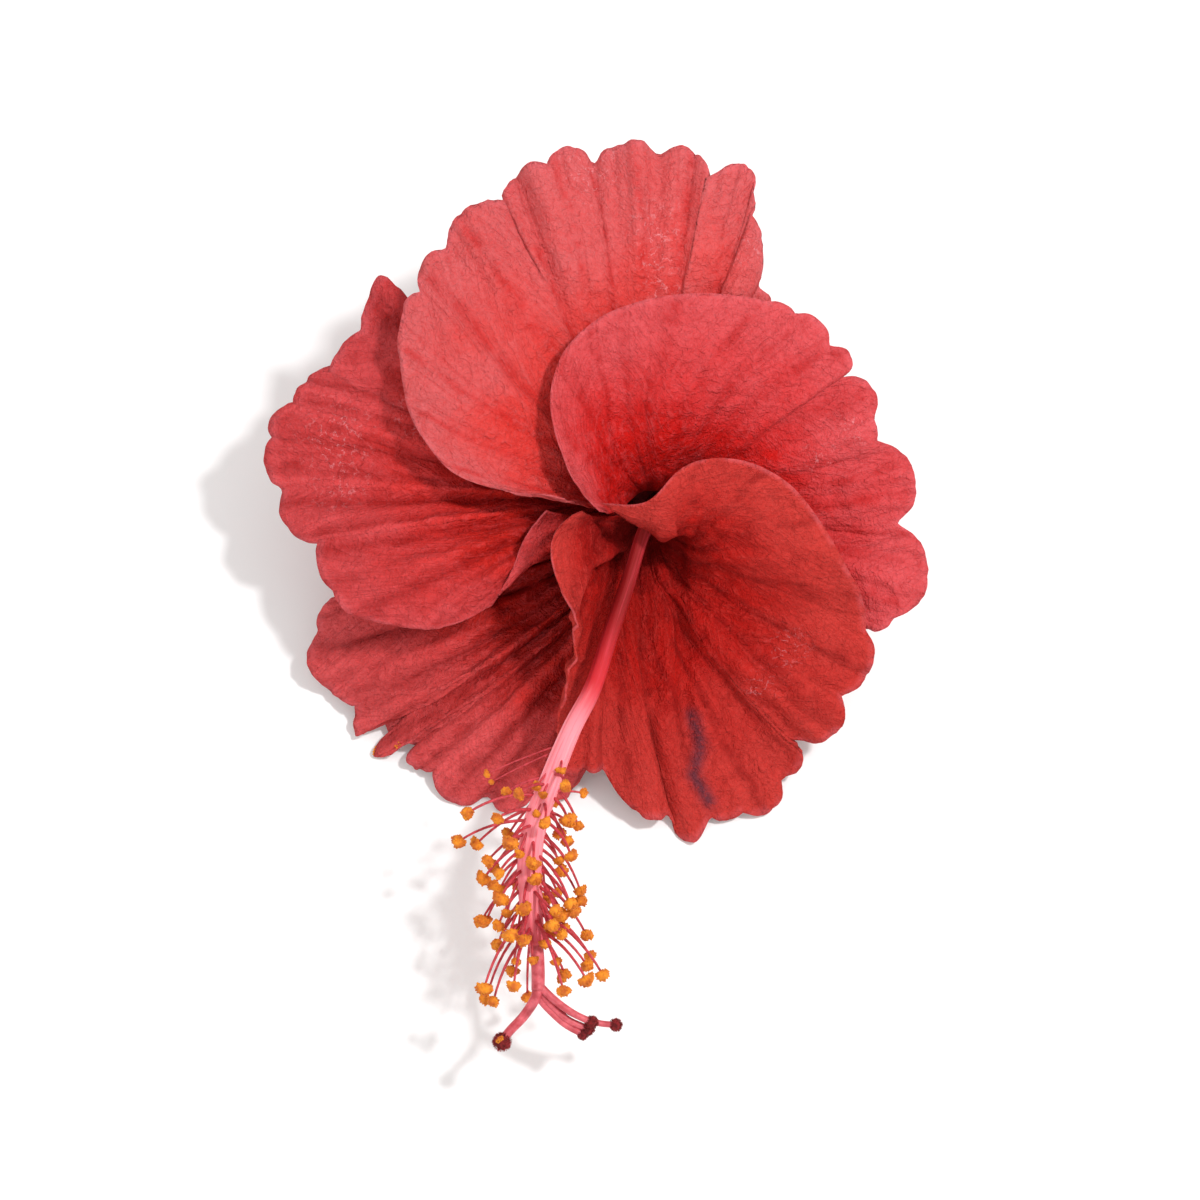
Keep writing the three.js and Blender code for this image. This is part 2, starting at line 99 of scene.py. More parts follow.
class Value:
    """A shader socket that sums and products are written with."""

    __add__ = __radd__ = operator("ADD")
    __mul__ = __rmul__ = operator("MULTIPLY")
    __sub__ = operator("SUBTRACT")
    __rsub__ = operator("SUBTRACT", swapped=True)
    __truediv__ = operator("DIVIDE")
    __rtruediv__ = operator("DIVIDE", swapped=True)
    __mod__ = operator("FLOORED_MODULO")
    __abs__ = operator("ABSOLUTE")

    def __init__(self, paint, socket):
        self.paint = paint
        self.socket = socket


class Paint:
    """A material, with the methods that its nodes are made by."""

    def __init__(self, name, **constants):
        self.material = bpy.data.materials.new(name)
        self.material.use_nodes = True
        self.tree = self.material.node_tree
        self.shader = self.tree.nodes["Principled BSDF"]
        for socket, value in constants.items():
            self.shader.inputs[socket.replace("_", " ")].default_value = value

    def node(self, kind, settings=None, inputs=None, output=0):
        """A node: its settings first, and then the values or links of its sockets."""
        made = self.tree.nodes.new(kind)
        for name, value in (settings or {}).items():
            setattr(made, name, value)
        for name, value in (inputs or {}).items():
            self.join(value, made.inputs[name])
        return Value(self, made.outputs[output])

    def join(self, value, socket):
        """Links a value to a socket, or sets it there. A colour is given as a screen shows it."""
        if isinstance(value, Value):
            self.tree.links.new(value.socket, socket)
        elif socket.type == "RGBA":
            socket.default_value = (*linear(*value), 1)
        else:
            socket.default_value = value

    def math(self, operation, first, second=0.0):
        return self.node("ShaderNodeMath", {"operation": operation}, {0: first, 1: second})

    def smooth(self, value, low, high):
        inputs = {"Value": value, "From Min": low, "From Max": high}
        return self.node("ShaderNodeMapRange", {"interpolation_type": "SMOOTHSTEP"}, inputs)

    def fall(self, value, low, high):
        return 1 - self.smooth(value, low, high)

    def threads(self, value, width):
        """1 along the lines where a value from 0 to 1 passes a half, and 0 beside them."""
        return self.fall(abs(value - 0.5), 0.0, width)

    def mix(self, base, over, share):
        """base where share is 0, and over where it is 1. Both are colours."""
        settings = {"data_type": "RGBA", "clamp_factor": True}
        return self.node("ShaderNodeMix", settings, {0: share, 6: base, 7: over}, output=2)

    def attribute(self, name):
        return self.node("ShaderNodeAttribute", {"attribute_name": name}, output=2)

    def place(self, scale=(1, 1, 1)):
        """Object coordinates in millimetres, stretched by scale."""
        where = self.node("ShaderNodeTexCoord", output=3)
        factor = tuple(value / MM for value in scale)
        return self.node("ShaderNodeVectorMath", {"operation": "MULTIPLY"}, {0: where, 1: factor})

    def noise(self, vector, scale, detail=2.0, roughness=0.5, output=0):
        inputs = {"Vector": vector, "Scale": scale, "Detail": detail, "Roughness": roughness}
        return self.node("ShaderNodeTexNoise", {}, inputs, output)

    def cells(self, vector, scale):
        """Distance from the walls of irregular cells."""
        inputs = {"Vector": vector, "Scale": scale}
        return self.node("ShaderNodeTexVoronoi", {"feature": "DISTANCE_TO_EDGE"}, inputs)

    def vector(self, x, y, z=0.0):
        return self.node("ShaderNodeCombineXYZ", {}, {0: x, 1: y, 2: z})

    def uv(self):
        """The piece's own map, as its two shares."""
        where = self.node("ShaderNodeUVMap", {"uv_map": "UVMap"})
        return [self.node("ShaderNodeSeparateXYZ", {}, {0: where}, axis) for axis in (0, 1)]

    def bump(self, height, distance, strength=1.0):
        inputs = {"Height": height, "Distance": distance * MM, "Strength": strength}
        self.join(self.node("ShaderNodeBump", {}, inputs), self.shader.inputs["Normal"])

    def finish(self, colour, roughness=None):
        self.join(colour, self.shader.inputs["Base Color"])
        if roughness is not None:
            self.join(roughness, self.shader.inputs["Roughness"])
        return self.material


def linear(red, green, blue):
    """A colour as a screen shows it, each part from 0 to 255, as the shaders' linear light."""
    parts = [part / 255 for part in (red, green, blue)]
    return tuple(part / 12.92 if part < 0.04045 else ((part + 0.055) / 1.055) ** 2.4 for part in parts)


# ---- making pieces ----


def only(*pieces):
    """Selects these pieces and nothing else, and makes the first the active one."""
    bpy.ops.object.select_all(action="DESELECT")
    for piece in pieces:
        piece.select_set(True)
    bpy.context.view_layer.objects.active = pieces[0]


def primitive(add, **sizes):
    """A new primitive, added with everything else deselected."""
    bpy.ops.object.select_all(action="DESELECT")
    add(**sizes)
    return bpy.context.object


def joined(name, pieces):
    """The pieces as one."""
    only(*pieces)
    bpy.ops.object.join()
    pieces[0].name = name
    return pieces[0]


def placed(name, data):
    """A new object that holds the mesh, lamp or camera."""
    made = bpy.data.objects.new(name, data)
    bpy.context.scene.collection.objects.link(made)
    return made


def close_seams(piece, distance=1e-6):
    """Merges what meets at seams and poles, and turns all faces outwards."""
    only(piece)
    bpy.ops.object.mode_set(mode="EDIT")
    bpy.ops.mesh.select_all(action="SELECT")
    bpy.ops.mesh.remove_doubles(threshold=distance)
    bpy.ops.mesh.normals_make_consistent(inside=False)
    bpy.ops.object.mode_set(mode="OBJECT")


def apply(piece, kind, **settings):
    only(piece)
    modifier = piece.modifiers.new(kind.title(), kind)
    for name, value in settings.items():
        setattr(modifier, name, value)
    bpy.ops.object.modifier_apply(modifier=modifier.name)


def finish_piece(piece, material, slot, *nodes):
    """Gives a piece its finish, its body and the nodes that it stands for."""
    piece.data.materials.clear()
    piece.data.materials.append(material)
    only(piece)
    bpy.ops.object.shade_smooth()
    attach(piece, "root")
    if nodes:
        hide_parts(*nodes)


def sheet(name, points):
    """A grid laid over points, an array of columns of rows, in the mouth's frame."""
    across, along = points.shape[:2]
    counts = dict(x_subdivisions=across - 1, y_subdivisions=along - 1)
    piece = primitive(bpy.ops.mesh.primitive_grid_add, size=1, **counts)
    piece.name = name
    flat = np.zeros(len(piece.data.vertices) * 3)
    piece.data.vertices.foreach_get("co", flat)
    flat = flat.reshape(-1, 3)
    column = np.rint((flat[:, 0] + 0.5) * (across - 1)).astype(int)
    row = np.rint((flat[:, 1] + 0.5) * (along - 1)).astype(int)
    piece.data.vertices.foreach_set("co", lay(points[column, row]).ravel())
    piece.data.update()
    return piece, column, row


def set_map(piece, across, along):
    """Puts each vertex of the piece at its own place on its map."""
    vertex = np.zeros(len(piece.data.loops), int)
    piece.data.loops.foreach_get("vertex_index", vertex)
    places = np.stack([across[vertex], along[vertex]], axis=1)
    piece.data.uv_layers[0].data.foreach_set("uv", places.astype(np.float32).ravel())


def set_attribute(piece, name, values):
    attribute = piece.data.attributes.new(name, "FLOAT", "POINT")
    attribute.data.foreach_set("value", np.asarray(values, np.float32))


def blend_lines(corners, share):
    """A cubic Bezier line at each share, from four corners with any leading shape."""
    p0, p1, p2, p3 = corners
    t = share[..., None]
    return (1 - t) ** 3 * p0 + 3 * (1 - t) ** 2 * t * p1 + 3 * (1 - t) * t * t * p2 + t**3 * p3


def curve_through(points, steps=400):
    """A centripetal Catmull-Rom curve through the points, at equal steps of its length."""
    p = [np.array(point, float) for point in points]
    p = [2 * p[0] - p[1], *p, 2 * p[-1] - p[-2]]
    fine = []
    for a, b, c, d in zip(p, p[1:], p[2:], p[3:]):
        ab, bc, cd = (np.linalg.norm(v) ** 0.5 for v in (b - a, c - b, d - c))
        start = ((b - a) / ab - (c - a) / (ab + bc) + (c - b) / bc) * bc
        end = ((c - b) / bc - (d - b) / (bc + cd) + (d - c) / cd) * bc
        u = np.linspace(0, 1, 40, endpoint=False)[:, None]
        square, cube = u * u, u**3
        first = (2 * cube - 3 * square + 1) * b + (cube - 2 * square + u) * start
        fine.append(first + (3 * square - 2 * cube) * c + (cube - square) * end)
    fine.append(p[-2][None])
    fine = np.concatenate(fine)
    run = np.concatenate(([0], np.cumsum(np.linalg.norm(np.diff(fine, axis=0), axis=1))))
    even = np.linspace(0, run[-1], steps + 1)
    return np.stack([np.interp(even, run, fine[:, axis]) for axis in range(3)], axis=1)


def frames_along(path):
    """Directions along a path, and two across it that turn as little as they can."""
    forward = unit(np.gradient(path, axis=0))
    side = np.zeros_like(path)
    start = np.cross(forward[0], (1.0, 0.0, 0.0))
    side[0] = unit(start)
    for k in range(1, len(path)):
        turned = side[k - 1] - forward[k] * np.dot(side[k - 1], forward[k])
        side[k] = unit(turned)
    return forward, side, np.cross(forward, side)


def full_turn(sides):
    """The angles of a closed ring, whose last is its first."""
    angle = np.linspace(0, 2 * math.pi, sides + 1)
    angle[-1] = 0
    return angle


def rod_points(path, radius, sides):
    """Rings of points round a path, closed at both ends. radius is told a place's share and its angle."""
    _, side, over = frames_along(path)
    angle = full_turn(sides)
    share = np.linspace(0, 1, len(path))
    size = radius(share[None, :], angle[:, None]) * np.ones((sides + 1, len(path)))
    size[:, 0] = 0
    size[:, -1] = 0
    round_ = np.cos(angle)[:, None, None] * side[None] + np.sin(angle)[:, None, None] * over[None]
    return path[None] + round_ * size[..., None]


def rod(name, path, radius, sides):
    """A closed rod along a path, with its ends rounded over."""
    steps = np.diff(path, axis=0)
    ends = [path[:1], path[:1] + steps[0] * 0.02, path[1:-1], path[-1:] - steps[-1] * 0.02, path[-1:]]
    path = np.concatenate(ends)
    piece, _, _ = sheet(name, rod_points(path, radius, sides))
    close_seams(piece)
    return piece


def merged(name, copies):
    """One piece made of copies of meshes: a list of (mesh, matrix), each copy with its own points."""
    places, faces, count = [], [], 0
    for mesh, matrix in copies:
        local = np.zeros(len(mesh.vertices) * 3)
        mesh.vertices.foreach_get("co", local)
        turn = np.array(matrix)
        places.append(local.reshape(-1, 3) @ turn[:3, :3].T + turn[:3, 3])
        faces.extend([[count + v for v in polygon.vertices] for polygon in mesh.polygons])
        count += len(mesh.vertices)
    data = bpy.data.meshes.new(name)
    data.from_pydata(lay(np.concatenate(places)), [], faces)
    return placed(name, data)


def take_mesh(piece):
    """The mesh of a finished pattern piece, whose object is then removed."""
    mesh = piece.data
    bpy.data.objects.remove(piece)
    return mesh


def hair_pattern(length, root, tip, middle):
    """A thin pointed hair: its length, its radius at root and tip, and the height of its middle."""
    sizes = dict(vertices=4, radius1=root, radius2=tip, depth=length, location=(0, 0, middle))
    piece = primitive(bpy.ops.mesh.primitive_cone_add, **sizes)
    only(piece)
    bpy.ops.object.transform_apply(location=True)
    return take_mesh(piece)


def scattered(rng, spread):
    return Vector((rng.gauss(0, spread), rng.gauss(0, spread), rng.gauss(0, spread)))


def pose(at, forward, turn=0.0, size=1.0):
    """The matrix that puts a pattern piece's z along forward, at a place, turned round it."""
    up = Vector(forward).to_track_quat("Z", "Y").to_matrix().to_4x4()
    spun = up @ Matrix.Rotation(turn, 4, "Z") @ Matrix.Diagonal((size, size, size, 1))
    return Matrix.Translation(Vector(at)) @ spun


# ---- petals ----

PETAL_THICKNESS = 0.34
PETAL_COLUMNS = 300
PETAL_ROWS = 120
CLAW_RADIUS = 2.2
CLAW_STEP = 0.92
WALL_HEIGHT = 16
WALL_RADIUS = 4.9
WALL_STEP = 1
SHOULDER_HEIGHT = 1.5
SHOULDER_FOLLOW = 0.6
SHOULDER_DROP = 1.6
BULGE_LENGTH = 1.5
RIM_SAMPLES = 1500
RIM_SOFTNESS = 0.35  # millimetres over which the rim's corners are rounded
CALM_SOFTNESS = 3.2  # the same, where the rim runs smooth
LOBE_FULLNESS = 3.2  # 2 is a parabola; more is rounder, with a sharper notch
FORKS = ((0.3, 0.72), (0.56, 1.05))  # where along the petal its veins fork, and end forking
FURROWS = 2.1  # small pleats to each broad one
FURROW_DEPTH = 0.3
RISE_PEAK = 12.2  # brings t**4 * (1 - t) to about 1 at its highest
VEIN_GROOVES = ((0.4, 0.1), (1.2, 0.26))  # half width and depth
CRUMPLES = ((6.5, 0.45, 8), (3.1, 0.36, 3))  # soft dents: size, depth and kind of noise
CREASED = ((4.2, 0.55, 4), (2.1, 0.34, 11))  # the same, with sharp valleys
RUFFLE_EDGE = 0.05
TOOTH_LENGTH = 0.22
LOWEST = 0.3  # millimetres over the floor that a petal's middle keeps

# A petal's rim runs anticlockwise, seen into the mouth: x, y, z, and where the stretch to the next point
# bulges, how far. The petal stands in the tube between the angles in root, and leaves the throat between
# those in claw. Its rim is ruffled by wave millimetres between the two shares in ruffled, and nearly calm
# elsewhere. pinch draws it in to the column round one angle, over a width, and rise lifts its outer half.
PETALS = {
    "petal_front": dict(
        layer=0, shoulder=10.5, claw=(170, 322), root=(215, 330), pleats=9, fold=0.7, veins=9,
        ruffled=(0.2, 0.72), wave=3.0,
        rim=[
            (-12, 8.5, 4), (-16.5, 6, 8), (-18, 3, 10), (-17, -1, 10.5), (-14, -8.5, 9),
            (-12.5, -15, 7.5), (-14.5, -22, 5), (-15.5, -29.5, 1), (-14, -39.5, -6), (-12, -36, -7, 1.4),
            (-7.5, -35.5, -8, 1.4), (-2, -44.5, -11.5, 1.2), (3.5, -45, -12.5, 5),
            (11, -45.5, -13.5, 1.4), (17, -44.6, -14.5, 3.6), (24, -39.2, -15, 3.8),
            (24.3, -31.4, -13, 5.2), (34.3, -23.3, -11, 3.2), (38.5, -12, -7, 0.8), (35.5, -2.5, -1.5),
            (30, 6.5, 3), (24.5, 13.5, 6), (17, 17.5, 8), (9, 18, 9), (4, 16, 8.5), (1.5, 11.5, 7.5),
            (-0.5, 9, 6.5), (-5, 10, 6), (-8.5, 10, 6),
        ],
    ),
    "petal_right": dict(
        layer=1, shoulder=6.5, claw=(-35, 165), root=(-25, 130), pleats=8, fold=0.3, veins=9,
        ruffled=(-0.1, 0.52), wave=2.6, pinch=(100, 55, 2.8),
        rim=[
            (21.5, -8.5, -10), (32.5, -13, -12, 0.5), (39, -12, -10, 1.2), (43.5, -10, -10, 6),
            (44, 7, -7.5, 5), (40, 21.5, -5, 0.6), (39.5, 25, -4.5, 3.5), (33.5, 32.5, -3.5, 3),
            (31.5, 38, -3, 2.2), (25.5, 43.5, -1.5, 0.8), (21, 45.5, 0), (12.5, 47, 1.5),
            (2.5, 46.5, 2.5), (-8, 43.5, 3), (-15.5, 37, 3.5), (-18, 28.5, 4), (-16, 19, 4.5),
            (-12, 11.5, 5), (-9, 8.5, 4.5),
        ],
    ),
    "petal_top": dict(
        layer=2, shoulder=9, claw=(62, 166), root=(50, 160), pleats=8, fold=0.4, veins=7,
        ruffled=(-0.1, 0.68), wave=2.6, rise=3.6,
        rim=[
            (19, 38, -8), (22, 41, -6, 1.2), (19, 48.5, -3, 1.5), (17.5, 61.5, -3.5, 7),
            (9.5, 67, -4.5, 4.2), (1.5, 72.5, -5.5, 2.6), (-9.5, 70.5, -5.5, 3.3), (-18, 69.5, -5, 3.5),
            (-24, 63, -4, 3.8), (-36, 55, -2, 2.2), (-40, 47, 0, 1), (-43, 44, 0, 0.4), (-44, 37, 0),
            (-42.5, 25.5, 0.5), (-35, 15, 1.5), (-24.5, 12, 2), (-15, 11, 2),
        ],
    ),
    "petal_left": dict(
        layer=3, shoulder=12, claw=(128, 176), root=(125, 195), pleats=9, fold=2.4, veins=8,
        ruffled=(0.12, 0.62), wave=3.2, rise=5,
        rim=[
            (-31, 33, -8), (-42.5, 45.5, -8, 0.3), (-48, 51.5, -9, 0.8), (-51.5, 41.5, -10, 1.5),
            (-56.5, 33, -11.5, 2.4), (-63.5, 28.5, -12.5, 2.2), (-67, 22.5, -13, 2.8),
            (-66, 13, -12.5, 3.2), (-58, 4.5, -10, 2), (-56, -5, -6.5, 0.6), (-52.5, -9.5, -4),
            (-44.5, -11.5, -4), (-36.5, -12, -3.5), (-28.5, -8.5, -2.5), (-24, -2, -1.5),
            (-22.5, 4.5, -1), (-18, 9, -1),
        ],
    ),
    "petal_lower": dict(
        layer=4, shoulder=14, claw=(190, 295), root=(190, 290), pleats=10, fold=2.8, veins=8,
        ruffled=(-0.1, 1.1), wave=3.6, rise=5,
        rim=[
            (-28.5, 0.5, -10), (-43, -4, -14), (-55.5, -5.5, -17.5, 1.6), (-60.5, -12.5, -20, 4.5),
            (-53, -25.5, -18.5, 0.5), (-53.5, -32, -18), (-48.5, -30, -16.5, 0.5), (-50.5, -35.5, -17, 1),
            (-42.5, -32.5, -15.5, 3.5), (-38.5, -37, -15, 4), (-29, -42.5, -14.5, 3),
            (-21.5, -41, -14, 2), (-13, -41, -15), (-6.5, -31, -16), (-3, -19, -15),
        ],
    ),
}


def soften(line, reach):
    """A line of samples, smoothed over reach samples. Past its ends it goes on turned about them."""
    around = int(3 * reach) + 1
    weights = np.exp(-((np.arange(-around, around + 1) / reach) ** 2) / 2)
    weights /= weights.sum()
    before = 2 * line[0] - line[around:0:-1]
    after = 2 * line[-1] - line[-2 : -around - 2 : -1]
    padded = np.concatenate([before, line, after])
    return np.stack([np.convolve(column, weights, mode="valid") for column in padded.T], axis=1)


def rim_line(corners, shares):
    """The rim at shares of its length. Its bulging stretches are round lobes, with softened corners."""
    corners = np.array([(*corner, 0)[:4] for corner in corners], float)
    step = np.diff(corners[:, :3], axis=0)
    bulge = corners[:-1, 3]
    length = np.linalg.norm(step, axis=1) + BULGE_LENGTH * bulge
    start = np.concatenate(([0], np.cumsum(length)))
    run = np.linspace(0, start[-1], RIM_SAMPLES)
    i = np.clip(np.searchsorted(start, run, side="right") - 1, 0, len(length) - 1)
    u = ((run - start[i]) / length[i])[:, None]
    out = np.stack([step[:, 1], -step[:, 0], np.zeros(len(step))], axis=1)
    out /= np.linalg.norm(out, axis=1, keepdims=True)
    lobes = bulge[i][:, None] * (1 - np.abs(2 * u - 1) ** LOBE_FULLNESS)
    line = corners[i, :3] + step[i] * u + out[i] * lobes
    sample = RIM_SAMPLES / start[-1]
    calm = soften((bulge[i] == 0)[:, None].astype(float), CALM_SOFTNESS / 2 * sample) ** 3
    soft = soften(line, RIM_SOFTNESS * sample)
    soft += calm * (soften(line, CALM_SOFTNESS * sample) - soft)
    grid = np.linspace(0, 1, RIM_SAMPLES)
    return np.stack([np.interp(shares, grid, soft[:, axis]) for axis in range(3)], axis=1)


def wander(places, seed):
    """Smooth noise from -1 to 1 at an array of places."""
    flat = np.asarray(places, float).reshape(-1, places.shape[-1])
    shift = Vector((seed * 17.3, seed * 5.1, seed * 29.7))
    found = [noise.noise(Vector(place) + shift) for place in flat]
    return np.array(found).reshape(places.shape[:-1])


def vein_reach(across, along, veins, rise):
    """How far places are from the nearest vein, in gaps between veins, after each fork of the veins.

    rise is smooth(), either the one for arrays or the one for sockets.
    """
    reach = abs(across * veins % 1.0 - 0.5)
    for fork, (start, end) in enumerate(FORKS):
        reach = abs(reach - rise(along, start, end) * (0.25 / 2**fork))
        yield reach


def petal_surface(name):
    """The petal's middle surface, with what its material needs to know about each place."""
    spec = PETALS[name]
    layer = spec["layer"]
    seed = 10 * layer + 3
    share = np.linspace(0, 1, PETAL_COLUMNS)
    along = np.linspace(0, 1, PETAL_ROWS)
    rim = rim_line(spec["rim"], share)
    root = np.radians(spec["root"][0] + (spec["root"][1] - spec["root"][0]) * share)
    leave = np.radians(spec["claw"][0] + (spec["claw"][1] - spec["claw"][0]) * share)
    angle, width, depth = spec.get("pinch", (0, 1, 0))
    pinch = depth * np.exp(-(((np.degrees(leave) - angle) / width) ** 2))
    out = spec["shoulder"] - pinch
    up = SHOULDER_HEIGHT - layer * SHOULDER_DROP + SHOULDER_FOLLOW * rim[:, 2]
    shoulder = np.stack([THROAT[0] + out * np.cos(leave), THROAT[1] + out * np.sin(leave), up], axis=1)
    claw = tube_point(CLAW_RADIUS + layer * CLAW_STEP, root, 0)
    wall = tube_point(WALL_RADIUS + layer * WALL_STEP - pinch, (root + leave) / 2, WALL_HEIGHT)
    corners = [corner[:, None] for corner in (claw, wall, shoulder, rim)]
    t = np.broadcast_to(along, (PETAL_COLUMNS, PETAL_ROWS))
    s = np.broadcast_to(share[:, None], t.shape)
    base = blend_lines(corners, t)

    def ripples(across, along, kind, third=0):
        """Noise with about this many forms across the petal and along it, its own for each kind."""
        return wander(np.stack([s * across, t * along, 0 * t + third], axis=-1), seed + kind)

    drift = ripples(6, 1.2, 9)
    pleat = 2 * math.pi * spec["pleats"] * s + 1.6 * drift
    swell = 1 + 0.9 * ripples(9, 0.8, 10, 4)
    furrow = 2 * math.pi * FURROWS * spec["pleats"] * s + 2.6 * drift
    folds = swell * np.sin(pleat) + FURROW_DEPTH * np.sin(furrow)
    base[..., 2] += spec["fold"] * folds * 3 * t * t * (1 - t)
    # How low each place lies in the pleats: partly vein pigment, partly painted shade where the folds dip.
    valley_vein_and_shade = 0.55 * (0.5 - 0.5 * np.sin(pleat)) ** 1.6 + 0.6 * (0.5 - 0.5 * np.sin(furrow)) ** 2
    base[..., 2] += spec.get("rise", 0) * RISE_PEAK * t**4 * (1 - t) * np.sin(math.pi * s)

    across_step = np.gradient(base, share, axis=0)
    along_step = np.gradient(base, along, axis=1)
    spread = np.linalg.norm(across_step, axis=-1)
    normal = unit(np.cross(along_step, across_step))

    # The veins wander a little, more so towards the rim, and do not all fork at one distance.
    veins = spec["veins"]
    flow = ripples(veins * 0.7, 1.6, 0)
    u = s + (0.55 * flow + 0.16 * ripples(veins * 1.3, 6, 1) * smooth(t, 0.3, 0.6)) / veins
    v = t + 0.3 * ripples(veins * 0.9, 1.2, 2)
    *_, reach = vein_reach(u, v, veins, smooth)
    millimetres = reach / veins * spread

    relief = -sum(depth * np.exp(-((millimetres / width) ** 2)) for width, depth in VEIN_GROOVES)
    relief = relief * smooth(t, 0.2, 0.45) * (1 - 0.65 * smooth(t, 0.5, 0.95))
    crumple = sum(depth * wander(base / size, seed + kind) for size, depth, kind in CRUMPLES)
    creased = sum(depth * np.abs(wander(base / size, seed + kind)) for size, depth, kind in CREASED)
    relief += (crumple + creased) * smooth(t, 0.25, 0.6)
    start, end = spec["ruffled"]
    edge = RUFFLE_EDGE
    loose = 0.1 + 0.9 * smooth(s, start - edge, start + edge) * (1 - smooth(s, end - edge, end + edge))
    breadth = spread.max()
    relief += spec["wave"] * ripples(breadth / 11, 0.7, 5) * loose * smooth(t, 0.64, 1.0) ** 1.5
    relief += 0.9 * ripples(breadth / 3.4, 0.6, 6) * loose * smooth(t, 0.84, 1.0)
    for line, depth, width in CREASES.get(name, ()):
        gap = line_gap(base, line)
        raised = np.exp(-(((gap - 1.7 * width) / (1.3 * width)) ** 2))
        relief += depth * (0.7 * raised - np.exp(-((gap / width) ** 2))) * smooth(t, 0.3, 0.45)
    surface = base + normal * relief[..., None]
    teeth = TOOTH_LENGTH * ripples(breadth / 2.6, 0, 7) * loose * smooth(t, 0.93, 1.0)
    surface += unit(along_step) * teeth[..., None]
    sunk_in_floor = np.maximum(0, LOWEST - lay(surface)[..., 2] / MM)
    surface += np.array(REST_UP) * sunk_in_floor[..., None]
    return surface, u, v, spread, np.minimum(valley_vein_and_shade, 1), t


PALE_SCARS = {  # places of scuffs on the petals: x, y and radius
    "petal_top": [(-10.5, 68.5, 5), (-7, 70.3, 4), (1, 59, 5), (1.2, 53, 4), (1.8, 48.5, 3.5), (17, 55, 3)],
    "petal_left": [(-56, 22.5, 6), (-55.5, 15, 5), (-43, 26, 3)],
    "petal_right": [(30, 18, 3), (37, 24, 3)],
    "petal_front": [(25, -15, 3), (20, -22, 2.5)],
}
SHADE_PAINTED_PLACES = {  # places painted darker red as painted shade, where the petal lies in shadow or turns from the light: x, y and radius
    "petal_left": [(-18, 9, 4), (-45, 43, 6)],
    "petal_right": [(9, 17, 3)],
    "petal_front": [(-9.5, 5.5, 4), (-5, 4, 4)],
}
BRUISE = ((8, -27.5), (9.5, -33), (8, -38), (11, -43))
BRUISE_WIDTH = 1.3
PAINTED_SHADE_RED = (110, 6, 8)
# Pale rim line: partly paler margin tissue, partly painted highlight.
RIM_PALE_AND_HIGHLIGHT_PINK = (232, 116, 124)
SCUFF_PINK = (232, 170, 176)
BRUISE_PURPLE = (88, 42, 54)
CREASES = {  # sharp folds: the line's places (x, y), its depth and width. It is raised on its right.
    "petal_front": [
        (((-5.6, 1.6), (-9.8, -1.9), (-11.4, -6.6), (-12.6, -9.6)), 2.0, 0.9),
        (((-12.9, -18), (-15.2, -20.5), (-14.5, -24.2), (-16.8, -31.2)), 0.8, 0.8),
        (((4.4, 3.3), (5.6, -8.6), (7, -32.9)), 1.6, 1.6),
    ],
}


def line_gap(points, line):
    """How far points are from a line of (x, y) places: above 0 on its right, and below 0 on its left."""
    nearest = np.full(points.shape[:-1], 1e9)
    for a, b in zip(line, line[1:]):
        a, b = np.array(a, float), np.array(b, float)
        away = points[..., :2] - a
        share = np.clip((away @ (b - a)) / ((b - a) @ (b - a)), 0, 1)
        gap = np.linalg.norm(away - share[..., None] * (b - a), axis=-1)
        side = np.sign(away[..., 0] * (b - a)[1] - away[..., 1] * (b - a)[0])
        nearest = np.where(gap < np.abs(nearest), gap * side, nearest)
    return nearest


def near_places(points, places):
    """1 at any of the places (x, y, radius), falling off to 0 round them."""
    found = np.zeros(points.shape[:-1])
    for x, y, radius in places:
        gap = np.hypot(points[..., 0] - x, points[..., 1] - y)
        found = np.maximum(found, np.exp(-((gap / radius) ** 2)))
    return found


def build_petal(name, material):
    surface, u, v, spread, valley_vein_and_shade, t = petal_surface(name)
    piece, column, row = sheet(name + "_blade", surface)
    set_map(piece, u[column, row], v[column, row])
    facts = dict(spread=spread, along=t, valley_vein_and_shade=valley_vein_and_shade)
    facts["scar"] = near_places(surface, PALE_SCARS.get(name, ()))
    # The deep attribute marks painted shade: places painted darker red where the petal lies in shadow.
    facts["deep"] = near_places(surface, SHADE_PAINTED_PLACES.get(name, ()))
    if name == "petal_front":
        facts["bruise"] = np.exp(-((line_gap(surface, BRUISE) / BRUISE_WIDTH) ** 2))
    for fact, values in facts.items():
        set_attribute(piece, fact, values[column, row])
    apply(piece, "SOLIDIFY", thickness=PETAL_THICKNESS * MM, offset=0, use_even_offset=False)
    finish_piece(piece, material, "petal", name)


